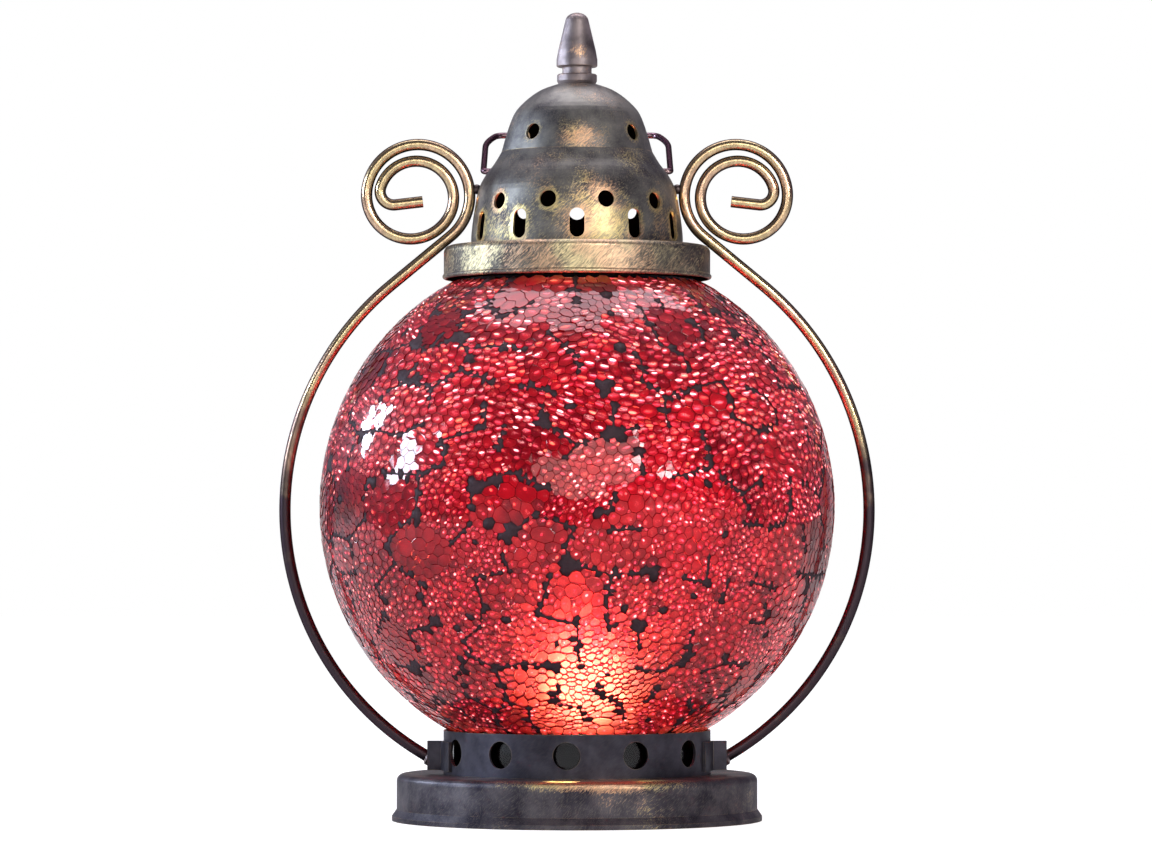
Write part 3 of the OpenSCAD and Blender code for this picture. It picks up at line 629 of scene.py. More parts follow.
@dataclass(frozen=True)
class RedChips(Finish):
    """Crackled red glass chips, glossy outside, with painted glints where their cracks would catch the light, a
    painted red glow round them, and painted brightness on the right and low down.
    """

    centre_mm: float = 93.8
    # Strengths of the painted glints and of the painted red glow round them.
    painted_glint: float = 4.0
    painted_halo: float = 0.19

    def paint(self, graph: Graph) -> None:
        """Writes the material's tree."""
        place = graph.place_mm()
        chip = graph.vector("SCALE", self.read(graph, "chip_centre"), scale=1000.0)
        luck = graph.add("ShaderNodeTexWhiteNoise", {"Vector": chip}, noise_dimensions="3D")
        red, green, blue = graph.add("ShaderNodeSeparateColor", {0: luck.outputs["Color"]}).outputs
        second = graph.add("ShaderNodeTexWhiteNoise", noise_dimensions="3D")
        graph.feed(second.inputs["Vector"], graph.vector("ADD", chip, (31.0, 7.0, 13.0)))
        more = graph.add("ShaderNodeSeparateColor", {0: second.outputs["Color"]}).outputs

        patches = graph.step(graph.noise(place, 0.045, 3.0), 0.3, 0.7)
        tone = graph.parts(self.read(graph, "shard"))[2]
        amount = graph.math("ADD", graph.math("MULTIPLY", red, 0.55), graph.math("MULTIPLY", tone, 0.45))
        x, _, height = graph.parts(place)
        high = graph.step(height, 80.0, 125.0)
        # Painted glow: chips on the right and low down, near the flame, are painted brighter in their base colour and
        # in their red glow.
        low = graph.math("MULTIPLY", graph.step(height, 45.0, 75.0, 1.0, 0.0), 0.7)
        painted_glow = graph.math("MAXIMUM", graph.step(x, -5.0, 45.0), low)
        amount = graph.math("ADD", amount, graph.math("MULTIPLY", painted_glow, 0.25))
        deep = graph.mix(amount, rgb(0.26, 0.004, 0.020), rgb(0.86, 0.026, 0.062))
        body = graph.mix(graph.step(graph.math("ADD", green, patches), 1.15, 1.5), deep, rgb(0.24, 0.006, 0.026))

        # Painted glints, and a painted red glow round them, given as emission: they shine though they are no lamp.
        painted_glint, painted_halo_mask = self.painted_glint_mask(graph, place, chip, (red, green, blue), more)
        pink = graph.mix(high, rgb(1.0, 0.10, 0.16), rgb(1.0, 0.27, 0.34))
        orange = graph.mix(high, rgb(1.0, 0.22, 0.09), rgb(1.0, 0.40, 0.15))
        pale = graph.mix(high, rgb(1.0, 0.34, 0.32), rgb(1.0, 0.75, 0.74))
        tint = graph.mix(graph.step(more[2], 0.5, 0.8), pink, orange)
        tint = graph.mix(graph.step(more[1], 0.68, 0.92), tint, pale)
        hue = graph.mix(painted_glint, rgb(0.85, 0.01, 0.065), tint)
        painted_halo = graph.math("MULTIPLY", painted_halo_mask, graph.lerp(painted_glow, self.painted_halo, 2.2 * self.painted_halo))
        strength = graph.math("ADD", graph.math("MULTIPLY", painted_glint, self.painted_glint), painted_halo)
        painted_light = graph.vector("SCALE", hue, scale=strength)

        shader = graph.surface({
            "Base Color": body,
            "Roughness": graph.lerp(blue, 0.3, 0.56),
            "IOR": 1.3,
            "Specular Tint": rgb(0.5, 0.03, 0.04),
            "Transmission Weight": 0.8,
            "Coat Weight": 0.9,
            "Coat Roughness": 0.04,
            "Emission Color": painted_light,
            "Emission Strength": 1.0,
        })
        clear = graph.add("ShaderNodeBsdfTransparent", {"Color": rgb(1.0, 1.0, 0.62)})
        shadow = graph.add("ShaderNodeLightPath").outputs["Is Shadow Ray"]
        through = graph.math("MULTIPLY", shadow, graph.add("ShaderNodeNewGeometry").outputs["Backfacing"])
        mixed = graph.add("ShaderNodeMixShader", {0: through, 1: shader.outputs[0], 2: clear.outputs[0]})
        graph.output(mixed.outputs[0])

    @staticmethod
    def read(graph: Graph, name: str) -> Any:
        """A vector that the mesh carries."""
        return graph.add("ShaderNodeAttribute", attribute_name=name).outputs["Vector"]

    def painted_glint_mask(self, graph: Graph, place: Any, chip: Any, luck: Sequence[Any], more: Sequence[Any]) -> tuple[Any, Any]:
        """Where a chip's crack would catch the light, painted as glints.

        Args:
            graph: The tree to write in.
            place: The place in millimetres.
            chip: The middle of the chip.
            luck: Three random numbers of the chip.
            more: Three more of them.

        Returns:
            How strong the painted glints are, and the painted red glow around them.
        """
        out = graph.vector("NORMALIZE", graph.vector("SUBTRACT", chip, (0.0, 0.0, self.centre_mm)))
        across = graph.vector("NORMALIZE", graph.vector("CROSS_PRODUCT", (0.0, 0.0, 1.0), out))
        up = graph.vector("CROSS_PRODUCT", out, across)
        local = graph.vector("SUBTRACT", place, chip)
        rise = graph.step(graph.parts(out)[2], -0.15, 0.45)
        plain, slant, _ = graph.parts(self.read(graph, "shard"))
        u = graph.math("SUBTRACT", graph.vector("DOT_PRODUCT", local, across), graph.math("MULTIPLY_ADD", luck[1], 1.5, -0.75))
        v = graph.math("SUBTRACT", graph.vector("DOT_PRODUCT", local, up), graph.math("MULTIPLY_ADD", luck[2], 1.3, -0.65))
        v = graph.math("ADD", v, graph.math("MULTIPLY", u, graph.math("MULTIPLY_ADD", slant, 0.9, -0.45)))
        wide = graph.math("MULTIPLY", graph.lerp(rise, 0.46, 1.5), graph.math("MULTIPLY_ADD", more[0], 0.7, 0.6))
        tall = graph.math("MULTIPLY", graph.lerp(rise, 0.46, 0.42), graph.math("MULTIPLY_ADD", more[2], 0.6, 0.7))
        far_u = graph.math("POWER", graph.math("DIVIDE", u, wide), 2.0)
        far_v = graph.math("POWER", graph.math("DIVIDE", v, tall), 2.0)
        far = graph.math("SQRT", graph.math("ADD", far_u, far_v))
        share = graph.step(graph.noise(place, 0.06, 2.0), 0.3, 0.7, 0.6, 0.95)
        share = graph.math("MULTIPLY", share, graph.step(plain, 0.06, 0.16))
        on = graph.math("LESS_THAN", luck[0], share)
        power = graph.math("MULTIPLY_ADD", graph.math("POWER", more[1], 2.0), 0.75, 0.25)
        painted_glint = graph.math("MULTIPLY", graph.step(far, 0.55, 1.0, 1.0, 0.0), graph.math("MULTIPLY", on, power))
        painted_halo_mask = graph.math("MULTIPLY", graph.step(far, 0.8, 2.8, 1.0, 0.0), graph.math("MULTIPLY", on, power))
        return painted_glint, painted_halo_mask


class Mesher:
    """Builds objects from plain arrays and from geometry trees."""

    @staticmethod
    def place(name: str, mesh: bpy.types.Mesh, material: Optional[bpy.types.Material] = None) -> bpy.types.Object:
        """Puts a mesh in the scene.

        Args:
            name: The piece's name.
            mesh: Its mesh.
            material: Its material.

        Returns:
            The new object.
        """
        mesh.name = name
        piece = bpy.data.objects.new(name, mesh)
        bpy.context.scene.collection.objects.link(piece)
        if material is not None:
            mesh.materials.clear()
            mesh.materials.append(material)
        return piece

    @staticmethod
    def mesh(points: np.ndarray, faces: Iterable[Sequence[int]] = (), edges: Iterable[Sequence[int]] = ()) -> bpy.types.Mesh:
        """A mesh from points in metres.

        Args:
            points: One row for each vertex.
            faces: Vertex numbers of each face.
            edges: Vertex numbers of each loose edge.

        Returns:
            The new mesh.
        """
        mesh = bpy.data.meshes.new("made")
        mesh.from_pydata([tuple(p) for p in points], [tuple(e) for e in edges], [tuple(f) for f in faces])
        mesh.update()
        return mesh

    @staticmethod
    def note(mesh: bpy.types.Mesh, name: str, values: np.ndarray) -> None:
        """Stores a number or a vector on each vertex."""
        kind, key = ("FLOAT_VECTOR", "vector") if values.ndim == 2 else ("FLOAT", "value")
        noted = mesh.attributes.new(name, kind, "POINT")
        noted.data.foreach_set(key, values.astype(np.float32).ravel())

    @staticmethod
    def lathe(outline: Sequence[tuple[float, float]], sides: int, closed: bool = False) -> bpy.types.Mesh:
        """Turns an outline of radius and height round the axis.

        Args:
            outline: Points in millimetres, upwards on the outside. A radius of 0 is a pole.
            sides: Number of faces round the axis.
            closed: Whether the outline's ends meet.

        Returns:
            The mesh, smooth shaded.
        """
        points: list[tuple[float, float, float]] = []
        rings: list[list[int]] = []
        for radius, height in outline:
            if radius == 0:
                rings.append([len(points)] * sides)
                points.append((0.0, 0.0, height * MM))
                continue
            rings.append(list(range(len(points), len(points) + sides)))
            for k in range(sides):
                angle = 2 * math.pi * k / sides
                points.append((radius * MM * math.cos(angle), radius * MM * math.sin(angle), height * MM))
        pairs = list(zip(rings, rings[1:] + rings[:1])) if closed else list(zip(rings, rings[1:]))
        faces = []
        for low, high in pairs:
            for k in range(sides):
                n = (k + 1) % sides
                corners = [low[k], low[n], high[n], high[k]]
                unique = list(dict.fromkeys(corners))
                if len(unique) > 2:
                    faces.append(unique)
        mesh = Mesher.mesh(np.array(points), faces)
        mesh.polygons.foreach_set("use_smooth", [True] * len(mesh.polygons))
        return mesh

    @staticmethod
    def grow(tree: bpy.types.NodeTree, base: bpy.types.Mesh, values: dict[str, Any]) -> bpy.types.Mesh:
        """Runs a geometry tree on a mesh.

        Args:
            tree: The tree.
            base: The mesh it starts from.
            values: The tree's inputs, by name.

        Returns:
            The result as a plain mesh.
        """
        carrier = Mesher.place("carrier", base)
        modifier = carrier.modifiers.new("grow", "NODES")
        modifier.node_group = tree
        for item in tree.interface.items_tree:
            if item.item_type == "SOCKET" and item.in_out == "INPUT" and item.name in values:
                modifier[item.identifier] = values[item.name]
        bpy.context.view_layer.update()
        evaluated = carrier.evaluated_get(bpy.context.evaluated_depsgraph_get())
        result = bpy.data.meshes.new_from_object(evaluated)
        carrier.modifiers.clear()
        bpy.data.objects.remove(carrier)
        return result


def wire_tree() -> bpy.types.NodeTree:
    """The tree that sweeps a round wire along a chain of points."""
    inputs = {"Path": "geometry", "Radius": "float", "Sides": "int", "Material": "material"}
    group = Group("round_wire", "GeometryNodeTree", inputs, {"Geometry": "geometry"})
    g, given = group.graph, group.inputs
    path = g.add("GeometryNodeMeshToCurve", {0: given["Path"]})
    ring = g.add("GeometryNodeCurvePrimitiveCircle", {"Resolution": given["Sides"], "Radius": given["Radius"]})
    tube = g.add("GeometryNodeCurveToMesh", {"Curve": path.outputs[0], "Profile Curve": ring.outputs[0]})
    tube.inputs["Fill Caps"].default_value = True
    smooth = g.add("GeometryNodeSetShadeSmooth", {"Geometry": tube.outputs[0]})
    real = g.add("GeometryNodeRealizeInstances", {"Geometry": smooth.outputs[0]})
    dressed = g.add("GeometryNodeSetMaterial", {"Geometry": real.outputs[0], "Material": given["Material"]})
    return group.finish(Geometry=dressed.outputs[0])


class MosaicTrees:
    """The trees that cut a sphere into crackled chips, the cracks between them and the grout."""

    CELLS = {"Points": "geometry", "Floor": "float", "Ceiling": "float", "Seed": "int"}

    def __init__(self) -> None:
        """Builds the tree of cells that the others share."""
        self.cells_tree = self.cells()

    @staticmethod
    def store(g: Graph, geometry: Any, name: str, kind: str, domain: str, value: Any) -> Any:
        """Stores a value on the mesh.

        Args:
            g: The tree to write in.
            geometry: The mesh.
            name: The value's name.
            kind: Its data type.
            domain: Where it is kept.
            value: The value.

        Returns:
            The mesh that carries it.
        """
        node = g.add("GeometryNodeStoreNamedAttribute", data_type=kind, domain=domain)
        for key, item in (("Geometry", geometry), ("Name", name), ("Value", value)):
            g.feed(node.inputs[key], item)
        return node.outputs[0]

    @staticmethod
    def recall(g: Graph, name: str, kind: str = "FLOAT_VECTOR") -> Any:
        """Reads a value that the mesh carries."""
        return g.add("GeometryNodeInputNamedAttribute", {"Name": name}, data_type=kind).outputs[0]

    @staticmethod
    def chance(g: Graph, low: Any, high: Any, seed: Any) -> Any:
        """A random number or vector for each face, between two bounds."""
        many = isinstance(low, tuple)
        node = g.add("FunctionNodeRandomValue", data_type="FLOAT_VECTOR" if many else "FLOAT")
        first = 0 if many else 2
        for number, item in ((first, low), (first + 1, high)):
            g.feed(node.inputs[number], item)
        g.feed(node.inputs["Seed"], seed)
        return node.outputs[0 if many else 1]

    @staticmethod
    def keep(g: Graph, geometry: Any, drop: Any) -> Any:
        """Deletes the chosen faces."""
        inputs = {"Geometry": geometry, "Selection": drop}
        return g.add("GeometryNodeDeleteGeometry", inputs, domain="FACE").outputs[0]

    @staticmethod
    def close(group: Group, geometry: Any, wall: Any = None) -> bpy.types.NodeTree:
        """Ends a tree with plain geometry in its material, and in the wall material where wall says so."""
        g = group.graph
        real = g.add("GeometryNodeRealizeInstances", {"Geometry": geometry})
        inputs = {"Geometry": real.outputs[0], "Material": group.inputs["Material"]}
        dressed = g.add("GeometryNodeSetMaterial", inputs).outputs[0]
        if wall is not None:
            inputs = {"Geometry": dressed, "Selection": wall, "Material": group.inputs["Wall"]}
            dressed = g.add("GeometryNodeSetMaterial", inputs).outputs[0]
        return group.finish(Geometry=dressed)

    def cells(self) -> bpy.types.NodeTree:
        """Cells round the points, each with its middle, bulk, shard and whether grout fills it."""
        group = Group("mosaic_cells", "GeometryNodeTree", self.CELLS, {"Geometry": "geometry"})
        g, given = group.graph, group.inputs
        mesh = g.add("GeometryNodeConvexHull", {0: given["Points"]}).outputs[0]
        nearest = g.add("GeometryNodeSampleNearest", {"Geometry": given["Points"]}, domain="POINT")
        for name, kind in (("in_gap", "FLOAT"), ("shard", "FLOAT_VECTOR")):
            inputs = {"Geometry": given["Points"], "Index": nearest.outputs[0], "Value": self.recall(g, name, kind)}
            picked = g.add("GeometryNodeSampleIndex", data_type=kind, domain="POINT")
            for key, value in inputs.items():
                g.feed(picked.inputs[key], value)
            mesh = self.store(g, mesh, name, kind, "POINT", picked.outputs[0])
        mesh = g.add("GeometryNodeDualMesh", {"Mesh": mesh}).outputs[0]
        here = g.add("GeometryNodeInputPosition").outputs[0]
        height = g.parts(here)[2]
        low = g.math("LESS_THAN", height, given["Floor"])
        high = g.math("GREATER_THAN", height, given["Ceiling"])
        mesh = self.keep(g, mesh, g.math("MAXIMUM", low, high))
        bulk = self.chance(g, 0.96, 1.04, given["Seed"])
        mesh = self.store(g, mesh, "face_centre", "FLOAT_VECTOR", "FACE", here)
        mesh = self.store(g, mesh, "face_bulk", "FLOAT", "FACE", bulk)
        return group.finish(Geometry=mesh)

    def start(self, name: str, extra: dict[str, str], grout: bool) -> tuple[Group, Any]:
        """Starts a tree with its cells.

        Args:
            name: The tree's name.
            extra: Its inputs beyond those of the cells.
            grout: Whether to keep the grouted cells, or the others.

        Returns:
            The tree and the kept cells.
        """
        group = Group(name, "GeometryNodeTree", {**self.CELLS, **extra, "Material": "material"}, {"Geometry": "geometry"})
        g = group.graph
        node = g.add("GeometryNodeGroup", node_tree=self.cells_tree)
        for key in self.CELLS:
            g.feed(node.inputs[key], group.inputs[key])
        gap = self.recall(g, "in_gap", "FLOAT")
        drop = g.math("LESS_THAN" if grout else "GREATER_THAN", gap, 0.5)
        return group, self.keep(g, node.outputs[0], drop)

    def chips(self) -> bpy.types.NodeTree:
        """Closed chips of glass with worn top edges and filler on their walls, each leaning its own way."""
        extra = {
            "Shrink": "float", "Thickness": "float", "Bevel": "float", "Tilt": "float", "Shard Tilt": "float",
            "Centre": "vector", "Wall": "material",
        }
        group, mesh = self.start("glass_chips", extra, False)
        g, given = group.graph, group.inputs
        here = g.add("GeometryNodeInputPosition").outputs[0]
        own = g.vector("SCALE", self.chance(g, (-1.0,) * 3, (1.0,) * 3, given["Seed"]), scale=given["Tilt"])
        shard = g.vector("SUBTRACT", self.recall(g, "shard"), (0.5,) * 3)
        shared = g.vector("SCALE", shard, scale=g.math("MULTIPLY", given["Shard Tilt"], 2.0))
        mesh = self.store(g, mesh, "face_lean", "FLOAT_VECTOR", "FACE", g.vector("ADD", own, shared))
        split = g.add("GeometryNodeSplitEdges", {"Mesh": mesh}).outputs[0]
        for name in ("centre", "lean"):
            split = self.store(g, split, f"chip_{name}", "FLOAT_VECTOR", "POINT", self.recall(g, f"face_{name}"))
        small = g.add("GeometryNodeScaleElements", {"Geometry": split, "Scale": given["Shrink"]}, domain="FACE").outputs[0]
        bulk = self.recall(g, "face_bulk", "FLOAT")
        side = g.add("GeometryNodeExtrudeMesh", {"Mesh": small}, mode="FACES")
        g.feed(side.inputs["Offset Scale"], g.math("MULTIPLY", given["Thickness"], bulk))
        away = g.vector("SUBTRACT", here, self.recall(g, "chip_centre"))
        lean = self.recall(g, "chip_lean")
        out = g.vector("NORMALIZE", g.vector("SUBTRACT", here, given["Centre"]))
        lift = g.vector("SCALE", out, scale=g.vector("DOT_PRODUCT", lean, away))
        inputs = {"Geometry": side.outputs["Mesh"], "Selection": side.outputs["Top"], "Offset": lift}
        tilted = g.add("GeometryNodeSetPosition", inputs)
        inputs = {"Mesh": tilted.outputs[0], "Selection": side.outputs["Top"], "Offset Scale": given["Bevel"]}
        top = g.add("GeometryNodeExtrudeMesh", inputs, mode="FACES")
        inputs = {"Geometry": top.outputs["Mesh"], "Selection": top.outputs["Top"], "Scale": 0.97}
        narrow = g.add("GeometryNodeScaleElements", inputs, domain="FACE")
        flipped = g.add("GeometryNodeFlipFaces", {"Mesh": small})
        joined = g.add("GeometryNodeJoinGeometry")
        for part in (narrow.outputs[0], flipped.outputs[0]):
            g.tree.links.new(part, joined.inputs[0])
        merged = g.add("GeometryNodeMergeByDistance", {"Geometry": joined.outputs[0], "Distance": 1e-6})
        return self.close(group, merged.outputs[0], side.outputs["Side"])

    def cracks(self) -> bpy.types.NodeTree:
        """The thin strips of filler between chips of one cluster."""
        group, mesh = self.start("crack_filler", {"Shrink": "float"}, False)
        g, given = group.graph, group.inputs
        split = g.add("GeometryNodeSplitEdges", {"Mesh": mesh}).outputs[0]
        inset = g.add("GeometryNodeExtrudeMesh", {"Mesh": split, "Offset Scale": 0.0}, mode="FACES")
        inputs = {"Geometry": inset.outputs["Mesh"], "Selection": inset.outputs["Top"], "Scale": given["Shrink"]}
        narrow = g.add("GeometryNodeScaleElements", inputs, domain="FACE")
        return self.close(group, self.keep(g, narrow.outputs[0], inset.outputs["Top"]))

    def grout(self) -> bpy.types.NodeTree:
        """The grout between clusters, raised a little above the glass."""
        group, mesh = self.start("dark_grout", {"Thickness": "float"}, True)
        g, given = group.graph, group.inputs
        inputs = {"Mesh": mesh, "Offset Scale": given["Thickness"], "Individual": False}
        raised = g.add("GeometryNodeExtrudeMesh", inputs, mode="FACES")
        smooth = g.add("GeometryNodeSetShadeSmooth", {"Geometry": raised.outputs["Mesh"]})
        return self.close(group, smooth.outputs[0])


BRONZE_PAN = AgedBronze(
    "pan_bronze", scratch=0.16, dark=rgb(0.034, 0.030, 0.046), pale=rgb(0.17, 0.155, 0.17), cover=0.27, patch=0.05, twist=-0.018, wear=0.4,
    # The first place, gold along the shoulder at the front, is partly rubbed wear and partly a painted highlight.
    worn=(WearAndHighlight(1, 6, 12.9, 54, flat=13.0, reach=44, weight=1.4), WearAndHighlight(1, -22, 4.0, 54, reach=9, weight=0.4)),
)
PLAIN_RING = AgedBronze(
    "ring_bronze", scratch=0.04, dark=rgb(0.036, 0.034, 0.046), pale=rgb(0.10, 0.095, 0.12), cover=0.05, wear=0.15, rough=0.4
)
BRONZE_BELL = AgedBronze("bell_bronze", dark=rgb(0.055, 0.05, 0.06), pale=rgb(0.28, 0.265, 0.24), cover=0.36, wear=0.9, worn=(
    WearAndHighlight(11, 0, 177.3, 31.8, size=2.2, tall=2.15, weight=0.8),
    WearAndHighlight(11, 180 / 11, 184.4, 30, size=2.5, weight=0.9),
    # The two single places, at the front low down and to the right higher up, are partly rubbed wear and partly
    # painted highlights.
    WearAndHighlight(1, 8, 180.0, 31, reach=18, weight=1.0),
    WearAndHighlight(1, 38, 196.0, 26, reach=9, weight=0.7),
))
BRONZE_DOME = AgedBronze("dome_bronze", dark=rgb(0.075, 0.07, 0.08), pale=rgb(0.32, 0.305, 0.28), cover=0.34, twist=-0.05, fine=2.0, wear=0.3, worn=(
    WearAndHighlight(4, -38.5, 205.3, 22, size=2.4, weight=0.8),
    # The single place at the front is partly rubbed wear and partly a painted highlight.
    WearAndHighlight(1, 6, 203.6, 22, flat=1.6, reach=12, weight=1.3),
))
BRONZE_FINIAL = AgedBronze(
    "finial_bronze", scratch=0.15, dark=rgb(0.075, 0.058, 0.068), pale=rgb(0.48, 0.40, 0.40), gilt=rgb(0.85, 0.55, 0.38),
    # The single place at the front is partly rubbed wear and partly a painted highlight.
    cover=0.34, patch=0.12, twist=-0.1, wear=0.5, pits=0.9, worn=(WearAndHighlight(1, 5, 231.0, 6, flat=1.5, reach=5),),
)
GILT_BAND = AgedBronze(
    "band_gilding", dark=rgb(0.04, 0.035, 0.04), pale=rgb(0.24, 0.21, 0.17), gilt=rgb(0.95, 0.80, 0.46),
    rose=rgb(0.95, 0.62, 0.38), cover=0.38, patch=0.075, twist=-0.025, fine=1.6, wear=1.0,
    # Both places, at the front and to the left, are partly rubbed wear and partly painted highlights.
    worn=(WearAndHighlight(1, 4, 167.0, 40, reach=38), WearAndHighlight(1, -48, 167.0, 40, reach=12, weight=0.6)),
)
# Near-black steel, for the collar and the holder inside the pan.
NEAR_BLACK_STEEL = PlainMetal("near_black_steel", colour=rgb(0.004, 0.003, 0.004), stain=rgb(0.012, 0.008, 0.009), rough=0.7, depth_mm=0.01)
COPPER_WIRE = PolishedWire("copper_plated_wire")
BAIL_WIRE = PolishedWire(
    "dark_bail_wire", bright=rgb(0.48, 0.30, 0.36), gold=rgb(0.42, 0.30, 0.26), dark=rgb(0.13, 0.08, 0.10)
)
TIN = PlainMetal("pressed_tin", colour=rgb(0.8, 0.8, 0.78), stain=rgb(0.6, 0.6, 0.58), rough=0.25)
STEEL = PlainMetal("zinc_steel")
GROUT = Grout("sandy_grout")
CRACK_FILLER = CrackFiller("red_crack_filler")
RED_CHIPS = RedChips("crackled_red_glass")
SOLDER = PlainMetal("dull_solder", colour=rgb(0.5, 0.42, 0.40), stain=rgb(0.2, 0.15, 0.15), rough=0.35)
DARK_SOLDER = PlainMetal("dark_solder", colour=rgb(0.12, 0.09, 0.085), stain=rgb(0.05, 0.04, 0.04), rough=0.4)


@dataclass
class Cad:
    """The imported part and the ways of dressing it."""

    frame: dict

    def dress(self, finish: Finish, *nodes: str) -> None:
        """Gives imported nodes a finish."""
        for name in nodes:
            finish.dress(self.frame["nodes"][name])
            LOG.info("dressed %s in %s", name, finish.name)

    @staticmethod
    def fit(piece: bpy.types.Object, body: Body, slot: str, *nodes: str) -> None:
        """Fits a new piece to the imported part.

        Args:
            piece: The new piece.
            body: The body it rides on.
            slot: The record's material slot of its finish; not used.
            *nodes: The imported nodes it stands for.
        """
        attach(piece, body.value)
        if nodes:
            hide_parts(*nodes)
        LOG.info("built %s with %d faces", piece.name, len(piece.data.polygons))


@dataclass
class Base:
    """The pan with its fittings."""

    cad: Cad

    def build(self) -> None:
        """Dresses the pan, its collar, holder and rivet."""
        self.cad.dress(BRONZE_PAN, "base_pan")
        self.cad.dress(NEAR_BLACK_STEEL, "spigot_collar", "candle_holder")
        self.cad.dress(STEEL, "holder_rivet")


@dataclass
class Tealight:
    """The candle and its flame."""

    cad: Cad
    flame_foot: float = 32.2
    flame_height: float = 16.0
    flame_r: float = 3.4
    lean: float = 2.6
    power: float = 0.27

    def build(self) -> None:
        """Dresses the candle and lights it."""
        self.cad.dress(TIN, "tealight_cup")
        self.cad.dress(Wax("candle_wax"), "tealight_wax")
        self.cad.dress(STEEL, "wick_tab")
        self.cad.dress(Char("charred_wick"), "tealight_wick")
        flame = self.flame()
        self.cad.fit(flame, Body.TEALIGHT, "flame")
        self.light(flame)

    def flame(self) -> bpy.types.Object:
        """The flame as a slim drop whose tip leans to the right."""
        outline = []
        for k in range(17):
            t = k / 16
            radius = self.flame_r * math.sin(math.pi * min(t, 1.0) ** 0.72) ** 0.9 if 0 < k < 16 else 0
            outline.append((radius, self.flame_foot + t * self.flame_height))
        mesh = Mesher.lathe(outline, 20)
        for vertex in mesh.vertices:
            rise = (vertex.co.z / MM - self.flame_foot) / self.flame_height
            vertex.co.x += 1.4 * self.lean * MM * rise * rise
        return Mesher.place("candle_flame", mesh, Flame("candle_flame_glow").material())

    def light(self, flame: bpy.types.Object) -> None:
        """The light that the flame gives, which goes where the flame goes.

        Args:
            flame: The flame.
        """
        lamp = bpy.data.lights.new("flame_light", "POINT")
        lamp.energy = self.power
        lamp.color = (1.0, 0.78, 0.36)
        lamp.shadow_soft_size = 0.005
        holder = bpy.data.objects.new("flame_light", lamp)
        bpy.context.scene.collection.objects.link(holder)
        holder.parent = flame
        holder.location = (self.lean * MM, 0.0, (self.flame_foot + 1.1 * self.flame_height) * MM)


@dataclass(frozen=True)
class Shards:
    """Where the mosaic's shards lie, by the same rule as in the part's source."""

    coat_r: float = 77.5
    rim_r: float = 40.0
    around: int = 24
    rows: int = 11
    stray: float = 0.24
    zigzag: float = 0.12
    turns: tuple[float, float, float] = (127.1, 311.7, 74.7)
    gain: float = 43758.5453

    def scatter(self, *numbers: int) -> float:
        """A number from 0 to 1 that looks random."""
        value = self.gain * math.sin(math.radians(sum(t * n for t, n in zip(self.turns, numbers))))
        return value - math.floor(value)

    def rim(self) -> float:
        """Latitude of the coat's rims, in degrees."""
        return math.degrees(math.acos(self.rim_r / self.coat_r))

    def corner(self, line: int, j: int) -> np.ndarray:
        """A shard's corner.

        Args:
            line: Number of the line between two rows, from below.
            j: Number of the corner along the line.

        Returns:
            Its turn from the front and its latitude, in degrees.
        """
        j %= 2 * self.around
        up = self.stray * (2 * self.scatter(line, j, 1) - 1) + self.zigzag * (1 if (line + j) % 2 == 0 else -1)
        if line in (0, self.rows):
            up = 0.0
        along = self.stray * (2 * self.scatter(line, j, 2) - 1)
        return np.array([180.0 / self.around * (j + along), 2 * self.rim() / self.rows * (line + up) - self.rim()])

    def side(self, row: int, i: int) -> np.ndarray:
        """Middle of the side on the left of a shard, as turn and latitude."""
        j = 2 * (i % self.around) + row % 2
        along = self.stray * 180.0 / self.around * (2 * self.scatter(row, j, 3) - 1)
        return (self.corner(row, j) + self.corner(row + 1, j)) / 2 + np.array([along, 0.0])

    def outline(self, row: int, i: int) -> tuple[np.ndarray, list[tuple]]:
        """A shard's eight corners and what each of its sides is called.

        Args:
            row: Its row, from below.
            i: Its number along the row.

        Returns:
            Unit vectors from the globe's centre, and the name that each side shares with the neighbour's.
        """
        j = 2 * i + row % 2
        spots = [self.corner(row, j + n) for n in (0, 1, 2)] + [self.side(row, i + 1)]
        spots += [self.corner(row + 1, j + n) for n in (2, 1, 0)] + [self.side(row, i)]
        turn, lat = np.radians(np.array(spots)).T
        units = np.stack([np.cos(lat) * np.sin(turn), -np.cos(lat) * np.cos(turn), np.sin(lat)], axis=1)
        n, m = 2 * self.around, self.around
        names = [("line", row, j), ("line", row, (j + 1) % n), ("side", row, (i + 1) % m, 0), ("side", row, (i + 1) % m, 1)]
        names += [("line", row + 1, (j + 1) % n), ("line", row + 1, j), ("side", row, i, 1), ("side", row, i, 0)]
        return units, names


